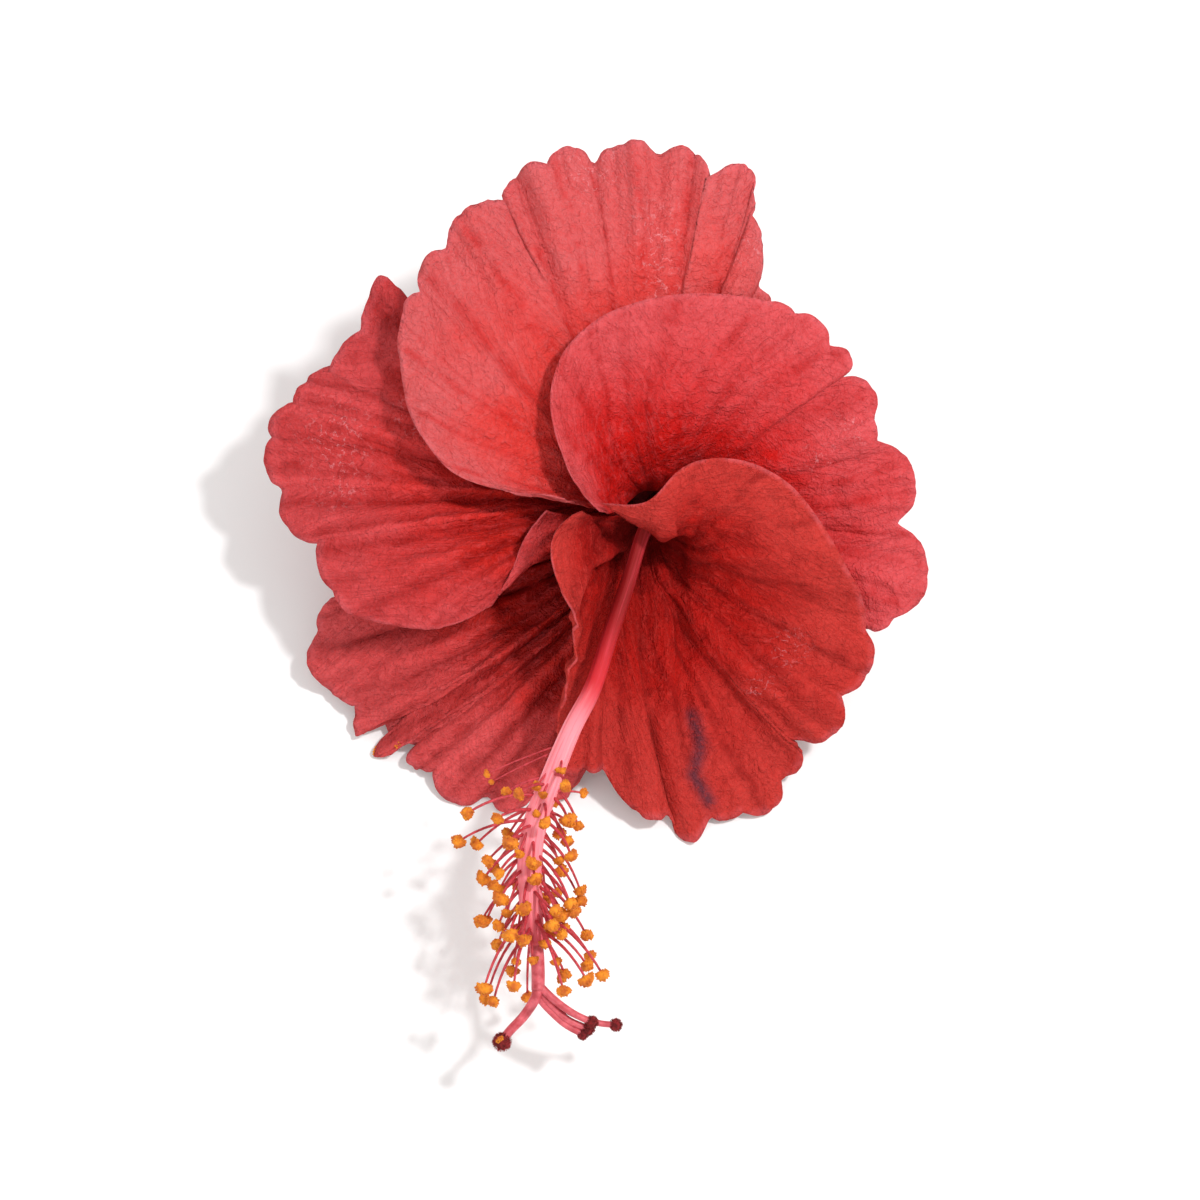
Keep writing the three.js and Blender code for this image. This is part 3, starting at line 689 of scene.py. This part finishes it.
def petal_paint(name, deep, middle, outer, vein, pleat_vein_and_shade_strength, veins):
    """Petal tissue: deep at the throat, lighter outwards, with forking veins and a fine net, with painted
    shade at listed places and in the pleat valleys, and painted highlights on the wrinkle ridges and along
    the rim.
    """
    constants = dict(Subsurface_Weight=0.15, Subsurface_Scale=0.001, Subsurface_Radius=(1.0, 0.22, 0.18))
    paint = Paint(name, Specular_IOR_Level=0.11, **constants)
    across, along = paint.uv()
    t = paint.attribute("along")
    spread = paint.attribute("spread")
    where = paint.place()

    wide, reach = vein_reach(across, along, veins, paint.smooth)
    wide_gap = wide * spread / veins
    gap = reach * spread / veins
    broken = paint.noise(where, 0.25, 3)
    faint = paint.noise(paint.vector(across * veins, along * 3.0), 0.9, 2)
    broad = paint.fall(wide_gap, 0.1, 1.7) * (0.15 + 0.85 * paint.smooth(broken, 0.35, 0.6))
    narrow = paint.fall(gap, 0.1, 0.5) * (0.15 + 0.85 * paint.smooth(faint, 0.42, 0.6))
    slant = paint.threads((along * 26.0 - reach * 24.0 + broken * 3.0) % 1.0, 0.16)
    side = slant * paint.smooth(gap, 0.2, 0.7) * paint.smooth(broken, 0.4, 0.6)
    drift = paint.noise(where, 0.5, 3, output=1)
    settings = {"operation": "MULTIPLY_ADD"}
    bent = paint.node("ShaderNodeVectorMath", settings, {0: drift, 1: (3, 3, 3), 2: where})
    net = paint.fall(paint.cells(bent, 0.42), 0.0, 0.12)
    cross = paint.noise(paint.vector(across * (veins * 3.0) + broken * 2.0, along * 40.0), 1.0, 3, 0.6)
    finest = paint.threads(cross, 0.06)
    wrinkle = paint.noise(bent, 1.2, 3, 0.6)
    crepe = paint.threads(paint.noise(bent, 0.42, 2), 0.06)
    cloud = paint.noise(where, 0.08, 3)
    streak = paint.noise(paint.vector(across * (veins * 12.0), along * 10.0), 1.0, 3, 0.6)
    mottle = paint.noise(paint.vector(across * (veins * 4.0) + broken * 3.0, along * 8.0), 1.0, 3, 0.6)
    grain = paint.noise(where, 2.4, 2)
    rough = paint.noise(where, 0.8, 5, 0.8)
    scratch = paint.threads(paint.noise(where, 0.45, 3), 0.035)
    fine = side * 0.16 + net * 0.1 + finest * 0.16
    # A broken pale line along the rim: partly paler margin tissue, partly painted highlight.
    edge = paint.smooth(t, 0.985, 1.0) * paint.smooth(broken, 0.35, 0.6)
    scuffs = scratch * paint.smooth(rough, 0.45, 0.6) + paint.smooth(rough, 0.58, 0.7) * 0.6

    base = paint.mix(deep, middle, paint.smooth(t, 0.35, 0.66))
    layers = [
        (outer, paint.smooth(t + (cloud - 0.5) * 0.3, 0.7, 1.02)),
        (vein, broad * (1 - t * 0.5) * 0.9),
        # Darker red in the pleat valleys: partly vein pigment, partly painted shade.
        (vein, paint.attribute("valley_vein_and_shade") * (1 - t * 0.5) * pleat_vein_and_shade_strength),
        (vein, narrow * (1 - t * 0.45) * 0.32),
        # Painted shade: darker red at the places of the deep attribute.
        (PAINTED_SHADE_RED, paint.attribute("deep") * 0.6),
        (vein, fine * paint.smooth(t, 0.25, 0.5)),
        (vein, paint.fall(mottle, 0.34, 0.5) * 0.16),
        (outer, paint.smooth(mottle, 0.5, 0.7) * 0.24),
        (outer, paint.smooth(streak, 0.5, 0.8) * 0.25),
        # Painted highlight: a lighter tone along the ridges of the wrinkles.
        (outer, paint.smooth(wrinkle * 0.5 + cross * 0.5, 0.48, 0.64) * 0.3),
        (middle, paint.smooth(grain, 0.45, 0.75) * 0.2),
        (RIM_PALE_AND_HIGHLIGHT_PINK, edge * 0.3),
        (SCUFF_PINK, paint.attribute("scar") * scuffs * 0.42),
    ]
    if name == "front petal":
        layers.append((BRUISE_PURPLE, paint.attribute("bruise") * paint.smooth(rough, 0.28, 0.52) * 0.9))
    for over, share in layers:
        base = paint.mix(base, over, share)
    height = wrinkle * 0.8 + cross * 1.1 + streak * 0.5 + grain * 0.4
    height = height - net * 0.1 - crepe * 0.16 - finest * 0.12 - narrow * 0.12
    paint.bump(height, 0.6, 1.0)
    return paint.finish(base, 0.58 + grain * 0.16)


CLAW_RING_HEIGHT = 12
CLAW_RING_RADIUS = 6.35
CLAW_RING_THICKNESS = 0.2
CLAW_RING_FLOOR = ((1.2, -0.35), (4.0, -0.35))


def build_claw_ring(material):
    """The short ring in which the petals' claws grow together, inside the calyx."""
    height = np.linspace(0, CLAW_RING_HEIGHT, 30)
    radius = CLAW_RING_RADIUS + 0.06 * height + 0.014 * height**2
    profile = [*CLAW_RING_FLOOR, *zip(radius, height)]
    rings = [tube_point(out, full_turn(60), up) for out, up in profile]
    piece, _, _ = sheet("petal_claw_ring", np.stack(rings, axis=1))
    close_seams(piece)
    apply(piece, "SOLIDIFY", thickness=CLAW_RING_THICKNESS * MM, offset=0)
    finish_piece(piece, material, "petal")


# ---- column, stamens, style ----

STAMENS = 64
STAMEN_ZONE = (0.7, 0.985)
STAMEN_TURN = 2.39996
FILAMENT_LENGTH = (5.5, 12.5)
FILAMENT_RADIUS = 0.2

COLUMN = curve_through(
    [
        *tube_point(0, 0, np.array((-0.4, 12, 23))),
        (-1.2, 4.8, -3), (-4, -4.2, -1.5), (-7.1, -13.3, 1.5), (-10, -22, 5), (-13.5, -28.6, 8.5),
        (-17, -37, 12.5), (-19.8, -45, 16), (-20.5, -51, 17.5), (-20.2, -56.8, 19), (-19.3, -64.1, 20.5),
    ]
)
COLUMN_RADII = (
    (0, 1.3), (0.31, 1.25), (0.42, 1.4), (0.5, 1.42), (0.63, 1.6), (0.72, 1.8), (0.8, 2.05),
    (0.89, 2.1), (0.92, 2), (0.965, 1.65), (1, 1.25),
)


def column_radius(share):
    return np.interp(share, *zip(*COLUMN_RADII))


def seeded(seed):
    """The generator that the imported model's stamens are placed by."""
    state = seed
    while True:
        state = (state * 1664525 + 1013904223) % 4294967296
        yield state / 4294967296


def arc(start, middle, end):
    """A line of nine places from start to end, drawn out towards middle."""
    u = np.linspace(0, 1, 9)[:, None]
    return (1 - u) ** 2 * start + 2 * u * (1 - u) * middle + u * u * end


def column_step(share):
    return int(round(share * (len(COLUMN) - 1)))


def stamens():
    """Each stamen's filament line, with the direction of its tip and its turn."""
    draws = seeded(11)
    forwards = unit(np.gradient(COLUMN, axis=0))
    found = []
    for index in range(STAMENS):
        order = (index + 0.5) / STAMENS
        share = STAMEN_ZONE[0] + (STAMEN_ZONE[1] - STAMEN_ZONE[0]) * order**0.72
        at = column_step(share)
        root, forward = COLUMN[at], forwards[at]
        side = Vector(unit(np.cross((1.0, 0.0, 0.0), forward)))
        turn = Matrix.Rotation(index * STAMEN_TURN + 0.5 * next(draws), 3, Vector(forward))
        outward = np.array(turn @ side)
        length = FILAMENT_LENGTH[0] + (FILAMENT_LENGTH[1] - FILAMENT_LENGTH[0]) * next(draws)
        lean = 0.35 + 0.5 * order + 0.3 * next(draws)
        spin = 2 * math.pi * next(draws)
        a = root + outward * column_radius(share) * 0.6
        b = root + outward * length * 0.6 + forward * length * lean * 0.25
        c = root + outward * length * 0.93 + forward * length * lean
        found.append((arc(a, b, c), c - b, spin))
    return found


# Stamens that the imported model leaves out: where each leaves the column, the place of its tip, the
# size of its anther and the thickness of its filament.
FEW_STAMENS = (
    (0.66, (-28.1, -36.4, 9), 0.62, 0.45), (0.67, (-27.2, -37.7, 10), 0.5, 0.5),
    (0.685, (-15.4, -35.4, 14.6), 0.75, 0.9), (0.705, (-19.4, -37.9, 15.6), 0.85, 0.9),
    (0.715, (-18.3, -39.3, 16.2), 0.7, 0.9), (0.74, (-19.3, -42.4, 17.4), 0.65, 0.9),
    (0.77, (-23.8, -47.1, 18.6), 0.9, 1), (0.78, (-22.2, -48.8, 20), 0.85, 1),
    (0.9, (-17.4, -60.4, 22.4), 0.85, 1), (0.92, (-17.8, -63.3, 23), 0.85, 1),
    (0.9, (-21.6, -62.7, 22.8), 0.85, 1), (0.93, (-19.8, -66, 23.2), 0.8, 1),
    (0.95, (-22.6, -66.4, 21.6), 0.85, 1), (0.95, (-16, -66.6, 21.2), 0.8, 1),
    (0.88, (-15.2, -58.2, 20.6), 0.8, 1), (0.86, (-24.2, -58.6, 20.4), 0.85, 1),
    (0.75, (-11.6, -39.4, 12.4), 0.8, 0.9), (0.78, (-13.6, -44.4, 14.6), 0.7, 0.9),
    (0.82, (-15.6, -50.2, 17.6), 0.85, 1), (0.84, (-25.4, -54.8, 18.4), 0.9, 1),
)
ANTHER_GRAINS = 54
GRAIN_RADIUS = 0.17
POLLEN_ON_STIGMA = 26
POLLEN_FALLS = ((-50.3, -34.4, 0.35, 9), (-45.6, -33, 0.3, 5))  # x, y, how far they spread, how many


def few_stamens():
    """Their filament lines, with the direction of each tip, its turn, its size and its thickness."""
    for index, (share, tip, size, thick) in enumerate(FEW_STAMENS):
        at = column_step(share)
        tip = np.array(tip, float)
        middle = (COLUMN[at] + tip) / 2 + unit(tip - COLUMN[min(at + 40, len(COLUMN) - 1)]) * 0.8
        yield arc(COLUMN[at], middle, tip), tip - middle, index * 1.7, size, thick


def anther_pattern(seed):
    """A kidney-shaped anther, split along its back and covered with grains of pollen."""
    rng = random.Random(seed)
    body = primitive(bpy.ops.mesh.primitive_uv_sphere_add, segments=16, ring_count=9, radius=1)
    places = []
    for vertex in body.data.vertices:
        x, y, z = vertex.co
        ridge = 1 - 0.3 * math.exp(-((y / 0.28) ** 2)) * max(0.0, z)
        lump = 1 + 0.2 * noise.noise(Vector((x * 1.7 + seed, y * 1.7, z * 1.7)))
        place = Vector((1.22 * x, 0.9 * y * ridge, 0.82 * z * ridge - 0.36 * x * x + 0.2)) * lump
        vertex.co = place
        places.append((place.copy(), Vector((x, y, z)).normalized()))
    body_mesh = take_mesh(body)
    grain = pollen_grain()
    copies = [(body_mesh, Matrix.Identity(4))]
    for _ in range(ANTHER_GRAINS):
        place, away = rng.choice(places)
        size = rng.uniform(0.7, 1.2)
        copies.append((grain, Matrix.Translation(place + away * 0.01) @ Matrix.Scale(size, 4)))
    return copies


def pollen_grain():
    return take_mesh(primitive(bpy.ops.mesh.primitive_ico_sphere_add, subdivisions=1, radius=GRAIN_RADIUS))


def loose_pollen(petal):
    """Grains fallen on to the first stigma, and on to two tips of the petal, whose surface is given."""
    rng = random.Random(9)
    grain = pollen_grain()
    _, head, path = STYLE_BRANCHES[0]
    places = []
    for _ in range(POLLEN_ON_STIGMA):
        out = Vector((rng.gauss(-0.2, 0.3), rng.gauss(0.5, 0.3), 1)).normalized()
        places.append(Vector(path[-1]) + out * head * STIGMA_RADIUS)
    for x, y, spread, count in POLLEN_FALLS:
        for _ in range(count):
            gap = np.hypot(petal[..., 0] - rng.gauss(x, spread), petal[..., 1] - rng.gauss(y, spread))
            nearest = np.unravel_index(gap.argmin(), gap.shape)
            places.append(Vector(petal[nearest]) + REST_UP * 0.25)
    return [(grain, Matrix.Translation(place) @ Matrix.Scale(rng.uniform(0.8, 1.5), 4)) for place in places]


def build_stamens(filament_material, anther_material, petal):
    patterns = [anther_pattern(seed) for seed in range(4)]
    threads, heads = [], loose_pollen(petal)
    rng = random.Random(4)
    grown = [(line, tip, spin, rng.uniform(0.9, 1.25), 1) for line, tip, spin in stamens()]
    for index, (line, tip, spin, size, thick) in enumerate([*grown, *few_stamens()]):
        radius = FILAMENT_RADIUS * thick
        piece = rod("thread", line, lambda s, a, radius=radius: radius * (1.7 - 0.8 * s), 6)
        threads.append(piece)
        matrix = pose(line[-1], tip, spin, size)
        heads.extend((mesh, matrix @ local) for mesh, local in patterns[index % 4])
    finish_piece(joined("stamen_filaments", threads), filament_material, "column")
    finish_piece(merged("stamen_anthers", heads), anther_material, "anther")


def build_column(material):
    def radius(share, angle):
        flutes = 0.05 * np.cos(5 * angle) + 0.035 * np.sin(8 * angle + 9 * share)
        return column_radius(share) * (1 + flutes)

    piece = rod("staminal_tube", COLUMN[::2], radius, 36)
    finish_piece(piece, material, "column", "staminal_column")


STIGMA_RADIUS = 0.88
STIGMA_HAIRS = 420
STYLE_STEM = [(-19.1, -66.3, 20.9), (-19, -68.5, 21.4), (-19, -71.2, 21.9)]
STYLE_BRANCHES = (  # the radius of each, the size of its stigma, and its path
    (0.8, 1.6, [
        (-19, -70.4, 21.8), (-19.4, -72.4, 22), (-21.3, -75.3, 22.6), (-23.8, -77.9, 23.2),
        (-24.9, -79.4, 23.6)]),
    (0.62, 1.15, [
        (-18.9, -70.2, 21.9), (-18, -71.2, 21.9), (-16, -73.1, 21.6), (-13.1, -75.2, 21.2),
        (-10.1, -76.7, 20.8)]),
    (0.62, 1.15, [
        (-19, -70.4, 21.6), (-18.4, -71.9, 21.2), (-16.5, -74.2, 20.7), (-14.1, -76.4, 20.2),
        (-10.7, -78, 19.7)]),
    (0.6, 1.0, [
        (-19, -70.6, 21.5), (-18.7, -72.7, 21), (-16.5, -75.4, 20.4), (-14.4, -77.3, 20),
        (-11.6, -78.9, 19.8)]),
    (0.55, 1.15, [
        (-18.9, -70.2, 21.5), (-18, -71.6, 20.8), (-15.7, -73.9, 20.2), (-12.4, -75.9, 19.6),
        (-8.8, -77.2, 19), (-6.1, -77.5, 18.8)]),
)


def stigma_pattern(seed):
    """A round stigma covered with short stout hairs."""
    rng = random.Random(seed)
    body = primitive(bpy.ops.mesh.primitive_uv_sphere_add, segments=20, ring_count=12, radius=STIGMA_RADIUS)
    for vertex in body.data.vertices:
        vertex.co *= 1 + 0.12 * noise.noise(vertex.co * 2.5 + Vector((seed, 0, 0)))
        vertex.co.z *= 0.85
    hair = hair_pattern(0.26, 0.05, 0.015, 0.1)
    copies = [(take_mesh(body), Matrix.Identity(4))]
    for _ in range(STIGMA_HAIRS):
        away = scattered(rng, 1).normalized()
        lean = (away + scattered(rng, 0.25)).normalized()
        copies.append((hair, pose(away * 0.84, lean, 0, rng.uniform(0.7, 1.15))))
    return copies


def build_style(style_material, stigma_material):
    start = COLUMN[-1] + unit(COLUMN[-1] - COLUMN[-2]) * -0.4
    rods = [rod("stem", curve_through([start, *STYLE_STEM], 24), lambda s, a: 1.16 - 0.06 * s, 20)]
    heads = []
    pattern = stigma_pattern(5)
    for radius, head, path in STYLE_BRANCHES:
        line = curve_through(path, 24)
        rods.append(rod("branch", line, lambda s, a, radius=radius: radius * (1.12 - 0.2 * s), 12))
        matrix = pose(line[-1], line[-1] - line[-2], 0, head)
        heads.extend((mesh, matrix @ local) for mesh, local in pattern)
    finish_piece(joined("style_and_branches", rods), style_material, "style", "style_and_stigmas")
    finish_piece(merged("stigma_pads", heads), stigma_material, "stigma")


# ---- calyx, epicalyx, stalk ----

CALYX_FLOOR = -0.7
CALYX_BOTTOM = -4.2
CALYX_NOTCH = 5.5
CALYX_TIP = 11.5
CALYX_WALL = 0.7
CALYX_COLUMNS = 150
SEPALS = 5
COLLAR_RADII = (2, 2.9, 3.2)
COLLAR_HEIGHT = 2
SEAT_GAP = 0.3
BRACTEOLES = 7
BRACTEOLE_LENGTH = 11
BRACTEOLE_WIDTH = 1.8
BRACTEOLE_THICKNESS = 0.45
STALK_RADIUS = 1.35
STALK_TURN = math.radians(126)


def calyx_inside(height):
    up = np.maximum(height, 0)
    return 6.85 + 0.05 * up + 0.042 * up * up


def calyx_top(angle):
    """How high the lobed rim of the cup stands."""
    return CALYX_NOTCH + (CALYX_TIP - CALYX_NOTCH) * np.abs(np.cos(SEPALS * angle / 2)) ** 1.2


def build_calyx(material):
    """A ribbed cup with five pointed lobes, which hugs the claws of the petals."""
    angle = full_turn(CALYX_COLUMNS)
    top = calyx_top(angle)
    rib = 0.16 * np.abs(np.cos(SEPALS * angle / 2)) ** 12 + 0.05 * np.cos(SEPALS * 4 * angle)
    columns = []
    for share in np.linspace(0, 0.96, 12):
        turn = share * math.pi / 2
        radius = (calyx_inside(0) + CALYX_WALL) * math.sin(turn) + rib * share
        columns.append(tube_point(radius, angle, CALYX_BOTTOM * math.cos(turn)))
    for share in np.linspace(0, 1, 22):
        height = top * share
        radius = calyx_inside(height) + CALYX_WALL * (1 - 0.55 * share) + rib * (1 - 0.6 * share)
        columns.append(tube_point(radius, angle, height))
    for share in np.linspace(1, 0, 22):
        height = CALYX_FLOOR + (top - CALYX_FLOOR) * share
        columns.append(tube_point(calyx_inside(height), angle, height))
    columns.append(tube_point(0, angle, CALYX_FLOOR))
    piece, _, _ = sheet("calyx_cup", np.stack(columns, axis=1))
    close_seams(piece)
    finish_piece(piece, material, "sepal", "calyx")


def build_epicalyx(material):
    """A collar with narrow leafy bracteoles, each with a keel."""
    collar_top = CALYX_BOTTOM - SEAT_GAP
    inner, outer, widest = COLLAR_RADII
    angle = full_turn(48)
    foot = collar_top - COLLAR_HEIGHT
    profile = [(inner, foot), (outer, foot), (widest, collar_top - COLLAR_HEIGHT / 2)]
    profile += [(outer, collar_top), (inner, collar_top), (inner, foot)]
    rings = [tube_point(radius, angle, height) for radius, height in profile]
    collar, _, _ = sheet("collar", np.stack(rings, axis=1))
    close_seams(collar)
    pieces = [collar]
    for index in range(BRACTEOLES):
        middle = 2 * math.pi * (index + 0.25) / BRACTEOLES
        t = np.linspace(0, 1, 30)[None]
        side = np.linspace(-1, 1, 13)[:, None]
        taper = (1 - 0.88 * t**3) * (0.75 + 0.5 * np.sin(math.pi * np.minimum(t * 1.1, 1)))
        half = BRACTEOLE_WIDTH / 2 * taper * side
        radius = outer - 0.3 + BRACTEOLE_LENGTH * 0.78 * t + 0 * side
        rise = BRACTEOLE_LENGTH * (0.15 * t + 0.5 * t * t) + 0.35 * np.abs(side) * (1 - 0.6 * t)
        points = tube_point(radius, middle + half / radius, CALYX_BOTTOM - COLLAR_HEIGHT * 0.7 + rise)
        blade, _, _ = sheet("bracteole", points)
        apply(blade, "SOLIDIFY", thickness=BRACTEOLE_THICKNESS * MM, offset=0)
        pieces.append(blade)
    finish_piece(joined("bracteole_ring", pieces), material, "sepal", "epicalyx")


STALK_BEND = [(0, SEAT_GAP), (0.5, 3.5), (4, 8), (11.5, 12.5), (20, 17)]  # out from the axis, and down
STALK_TURNS = [tube_point(out, STALK_TURN, CALYX_BOTTOM - down) for out, down in STALK_BEND]
STALK_PATH = curve_through(STALK_TURNS, 90)
CALYX_HAIRS = (2600, 0.55, 0.035)  # how many, their length and the radius of their roots
STALK_HAIRS = (1100, 0.4, 0.03)
HAIR_FREE_HEIGHT = 0.8  # over the floor, where no hair has its root


def stalk_radius(share, angle):
    joint = 0.45 * np.exp(-(((share - 0.62) / 0.05) ** 2))
    flare = 0.35 * np.maximum(0, 1 - share / 0.2) ** 2
    return (STALK_RADIUS + joint + flare) * (1 + 0.03 * np.cos(5 * angle + 3 * share))


def build_stalk(material):
    piece = rod("flower_stalk", STALK_PATH, stalk_radius, 30)
    finish_piece(piece, material, "stalk", "pedicel")


def leaning_hairs(length, root, roots, seed):
    """Hairs at roots, a list of (place, outward direction), each leaning its own way."""
    rng = random.Random(seed)
    pattern = hair_pattern(length, root, root * 0.2, length / 2)
    copies = []
    for place, out in roots:
        if lay(place)[2] < HAIR_FREE_HEIGHT * MM:
            continue
        lean = Vector(out) + scattered(rng, 0.4)
        copies.append((pattern, pose(place, lean.normalized(), 0, rng.uniform(0.6, 1.3))))
    return copies


def build_hairs(material):
    """Short stiff hairs on the outside of the calyx and on the stalk."""
    rng = random.Random(21)
    roots = []
    count, length, root = CALYX_HAIRS
    for _ in range(count):
        angle = rng.uniform(0, 2 * math.pi)
        share = rng.uniform(0, 0.97)
        height = calyx_top(angle) * share
        radius = calyx_inside(height) + CALYX_WALL * (1 - 0.55 * share) - 0.05
        out = TUBE_SIDE * math.cos(angle) + TUBE_FRONT * math.sin(angle)
        roots.append((tube_point(radius, angle, height), out + TUBE_AXIS * 0.3))
    finish_piece(merged("calyx_hairs", leaning_hairs(length, root, roots, 22)), material, "sepal")
    roots = []
    count, length, root = STALK_HAIRS
    _, side, over = frames_along(STALK_PATH)
    for _ in range(count):
        at = rng.randrange(8, len(STALK_PATH) - 2)
        angle = rng.uniform(0, 2 * math.pi)
        out = side[at] * math.cos(angle) + over[at] * math.sin(angle)
        surface = stalk_radius(at / (len(STALK_PATH) - 1), angle)
        roots.append((STALK_PATH[at] + out * (surface - 0.04), out))
    finish_piece(merged("stalk_hairs", leaning_hairs(length, root, roots, 23)), material, "stalk")


# ---- other finishes ----


def column_paint():
    """Smooth waxy tissue: deep red in the throat, pink outwards, with pale streaks along it."""
    paint = Paint("column tissue", Subsurface_Weight=0.2, Subsurface_Scale=0.001, Specular_IOR_Level=0.2)
    across, along = paint.uv()
    streak = paint.noise(paint.vector(across * 16.0, along * 5.0), 1.0, 3, 0.6)
    spot = paint.noise(paint.place(), 0.8, 3)
    pale = paint.smooth(along, 0.54, 0.64)
    base = paint.mix((132, 14, 16), (196, 40, 48), paint.smooth(along, 0.38, 0.56))
    base = paint.mix(base, (248, 138, 148), pale)
    base = paint.mix(base, (206, 58, 72), paint.smooth(streak, 0.5, 0.68) * 0.45)
    base = paint.mix(base, (248, 170, 178), paint.fall(streak, 0.3, 0.46) * pale * 0.6)
    base = paint.mix(base, (206, 56, 72), paint.smooth(along, 0.92, 0.99) * 0.6)
    paint.bump(streak + spot * 0.4, 0.12, 0.7)
    return paint.finish(base, 0.62 - pale * 0.16 + spot * 0.1)


def plain_tissue(name, light, dark, scale, roughness, bump):
    """Tissue of two tones in soft patches, with a fine grain."""
    paint = Paint(name, Subsurface_Weight=0.12, Subsurface_Scale=0.0008)
    where = paint.place()
    patch = paint.noise(where, scale, 3)
    grain = paint.noise(where, scale * 5, 2)
    base = paint.mix(dark, light, paint.smooth(patch, 0.3, 0.7))
    base = paint.mix(base, dark, paint.smooth(grain, 0.5, 0.8) * 0.4)
    paint.bump(grain + patch * 0.5, bump, 0.8)
    return paint.finish(base, roughness + grain * 0.15)


def green_paint(name, light, dark, tinge):
    """Green tissue with ribs along it, a fine net, and a reddish tinge in places."""
    paint = Paint(name, Subsurface_Weight=0.12, Subsurface_Scale=0.0008)
    across, _ = paint.uv()
    where = paint.place()
    rib = paint.smooth(abs(across * 25.0 % 1.0 - 0.5), 0.0, 0.32)
    patch = paint.noise(where, 0.35, 3)
    net = paint.smooth(paint.cells(where, 1.1), 0.0, 0.2)
    base = paint.mix(light, dark, rib * 0.45)
    base = paint.mix(base, dark, paint.smooth(patch, 0.4, 0.75) * 0.6)
    base = paint.mix(base, light, (1 - net) * 0.35)
    base = paint.mix(base, tinge, paint.smooth(patch, 0.58, 0.8) * 0.5)
    paint.bump(net * 0.5 + rib, 0.15, 0.7)
    return paint.finish(base, 0.48 + patch * 0.15)


# ---- build ----

# The finish's name, its colours at the throat, halfway, at the rim and along the veins, and how strongly
# the valleys of its pleats are darkened, partly as vein pigment and partly as painted shade. The tones are
# partly the petals' own and partly painted light and shade: the front and lower petals, which turn from the
# light, are set darker, and the top petal lighter.
PETAL_TONES = {
    "petal_front": ("front petal", (156, 14, 10), (174, 20, 13), (192, 56, 50), (116, 4, 4), 0.2),
    "petal_right": ("right petal", (212, 20, 13), (198, 18, 12), (206, 80, 84), (164, 8, 6), 0.06),
    "petal_top": ("top petal", (208, 28, 20), (214, 58, 52), (202, 92, 94), (184, 12, 9), 0.06),
    "petal_left": ("left petal", (178, 14, 10), (206, 38, 29), (210, 78, 81), (138, 6, 5), 0.9),
    "petal_lower": ("lower petal", (174, 13, 9), (192, 36, 28), (218, 86, 88), (118, 4, 4), 0.85),
}

for node, tones in PETAL_TONES.items():
    build_petal(node, petal_paint(*tones, PETALS[node]["veins"]))
build_claw_ring(plain_tissue("claw tissue", (170, 12, 14), (120, 8, 10), 0.5, 0.7, 0.1))

build_column(column_paint())
build_stamens(
    plain_tissue("filament tissue", (204, 62, 74), (160, 30, 40), 1.2, 0.45, 0.05),
    plain_tissue("pollen", (232, 142, 22), (190, 92, 18), 0.7, 0.75, 0.12),
    petal_surface("petal_lower")[0],
)
build_style(
    plain_tissue("style tissue", (214, 96, 106), (178, 56, 66), 0.7, 0.42, 0.08),
    plain_tissue("stigma velvet", (150, 34, 38), (96, 18, 20), 1.6, 0.9, 0.1),
)
build_calyx(green_paint("calyx tissue", (150, 172, 84), (92, 122, 48), (150, 96, 62)))
build_epicalyx(green_paint("bracteole tissue", (126, 152, 70), (78, 108, 42), (130, 90, 56)))
build_stalk(green_paint("stalk tissue", (138, 156, 78), (92, 112, 50), (140, 84, 60)))
build_hairs(plain_tissue("pale hairs", (196, 206, 158), (168, 182, 120), 0.5, 0.6, 0.02))

# ---- floor, lights, camera ----

FLOOR_SIZE = 6.0  # metres
FLOOR_DROP = 0.2  # keeps the floor off the surfaces that rest on it
floor = primitive(bpy.ops.mesh.primitive_plane_add, size=FLOOR_SIZE, location=(0, 0, -FLOOR_DROP * MM))
floor.name = "floor"
floor_paint = Paint("pale paper", Roughness=0.9)
floor_grain = floor_paint.noise(floor_paint.place(), 0.02, 2)
floor_tone = floor_paint.mix((240, 240, 240), (246, 246, 246), floor_grain)
floor.data.materials.append(floor_paint.finish(floor_tone))


def soft_light(name, place, size, power):
    """A square soft light that faces the flower, at a place in the mouth's frame."""
    data = bpy.data.lights.new(name, "AREA")
    data.size = size
    data.energy = power
    lamp = placed(name, data)
    lamp.location = Vector(lay(place))
    lamp.rotation_euler = (Vector(lay((-8, 0, 0))) - lamp.location).to_track_quat("-Z", "Y").to_euler()


soft_light("key", (240, 185, 490), 0.05, 2.1)
soft_light("fill", (-300, -200, 520), 0.8, 0.6)
world = bpy.data.worlds.new("studio")
world.use_nodes = True
daylight = world.node_tree.nodes["Background"].inputs
daylight["Color"].default_value = (1.0, 0.985, 0.975, 1)
daylight["Strength"].default_value = 0.88
bpy.context.scene.world = world
bpy.context.scene.view_settings.view_transform = "Standard"

VIEW_POINT = (-8.75, -6.65, 400)
VIEW_HALF_WIDTH = 105  # what half of the picture's width holds, level with the mouth
camera_data = bpy.data.cameras.new("camera")
camera_data.angle = 2 * math.atan(VIEW_HALF_WIDTH / VIEW_POINT[2])
camera_data.clip_start = 0.01
camera = placed("camera", camera_data)
camera.matrix_world = Matrix.Translation(Vector(lay(VIEW_POINT))) @ TO_REST.to_4x4()
bpy.context.scene.camera = camera
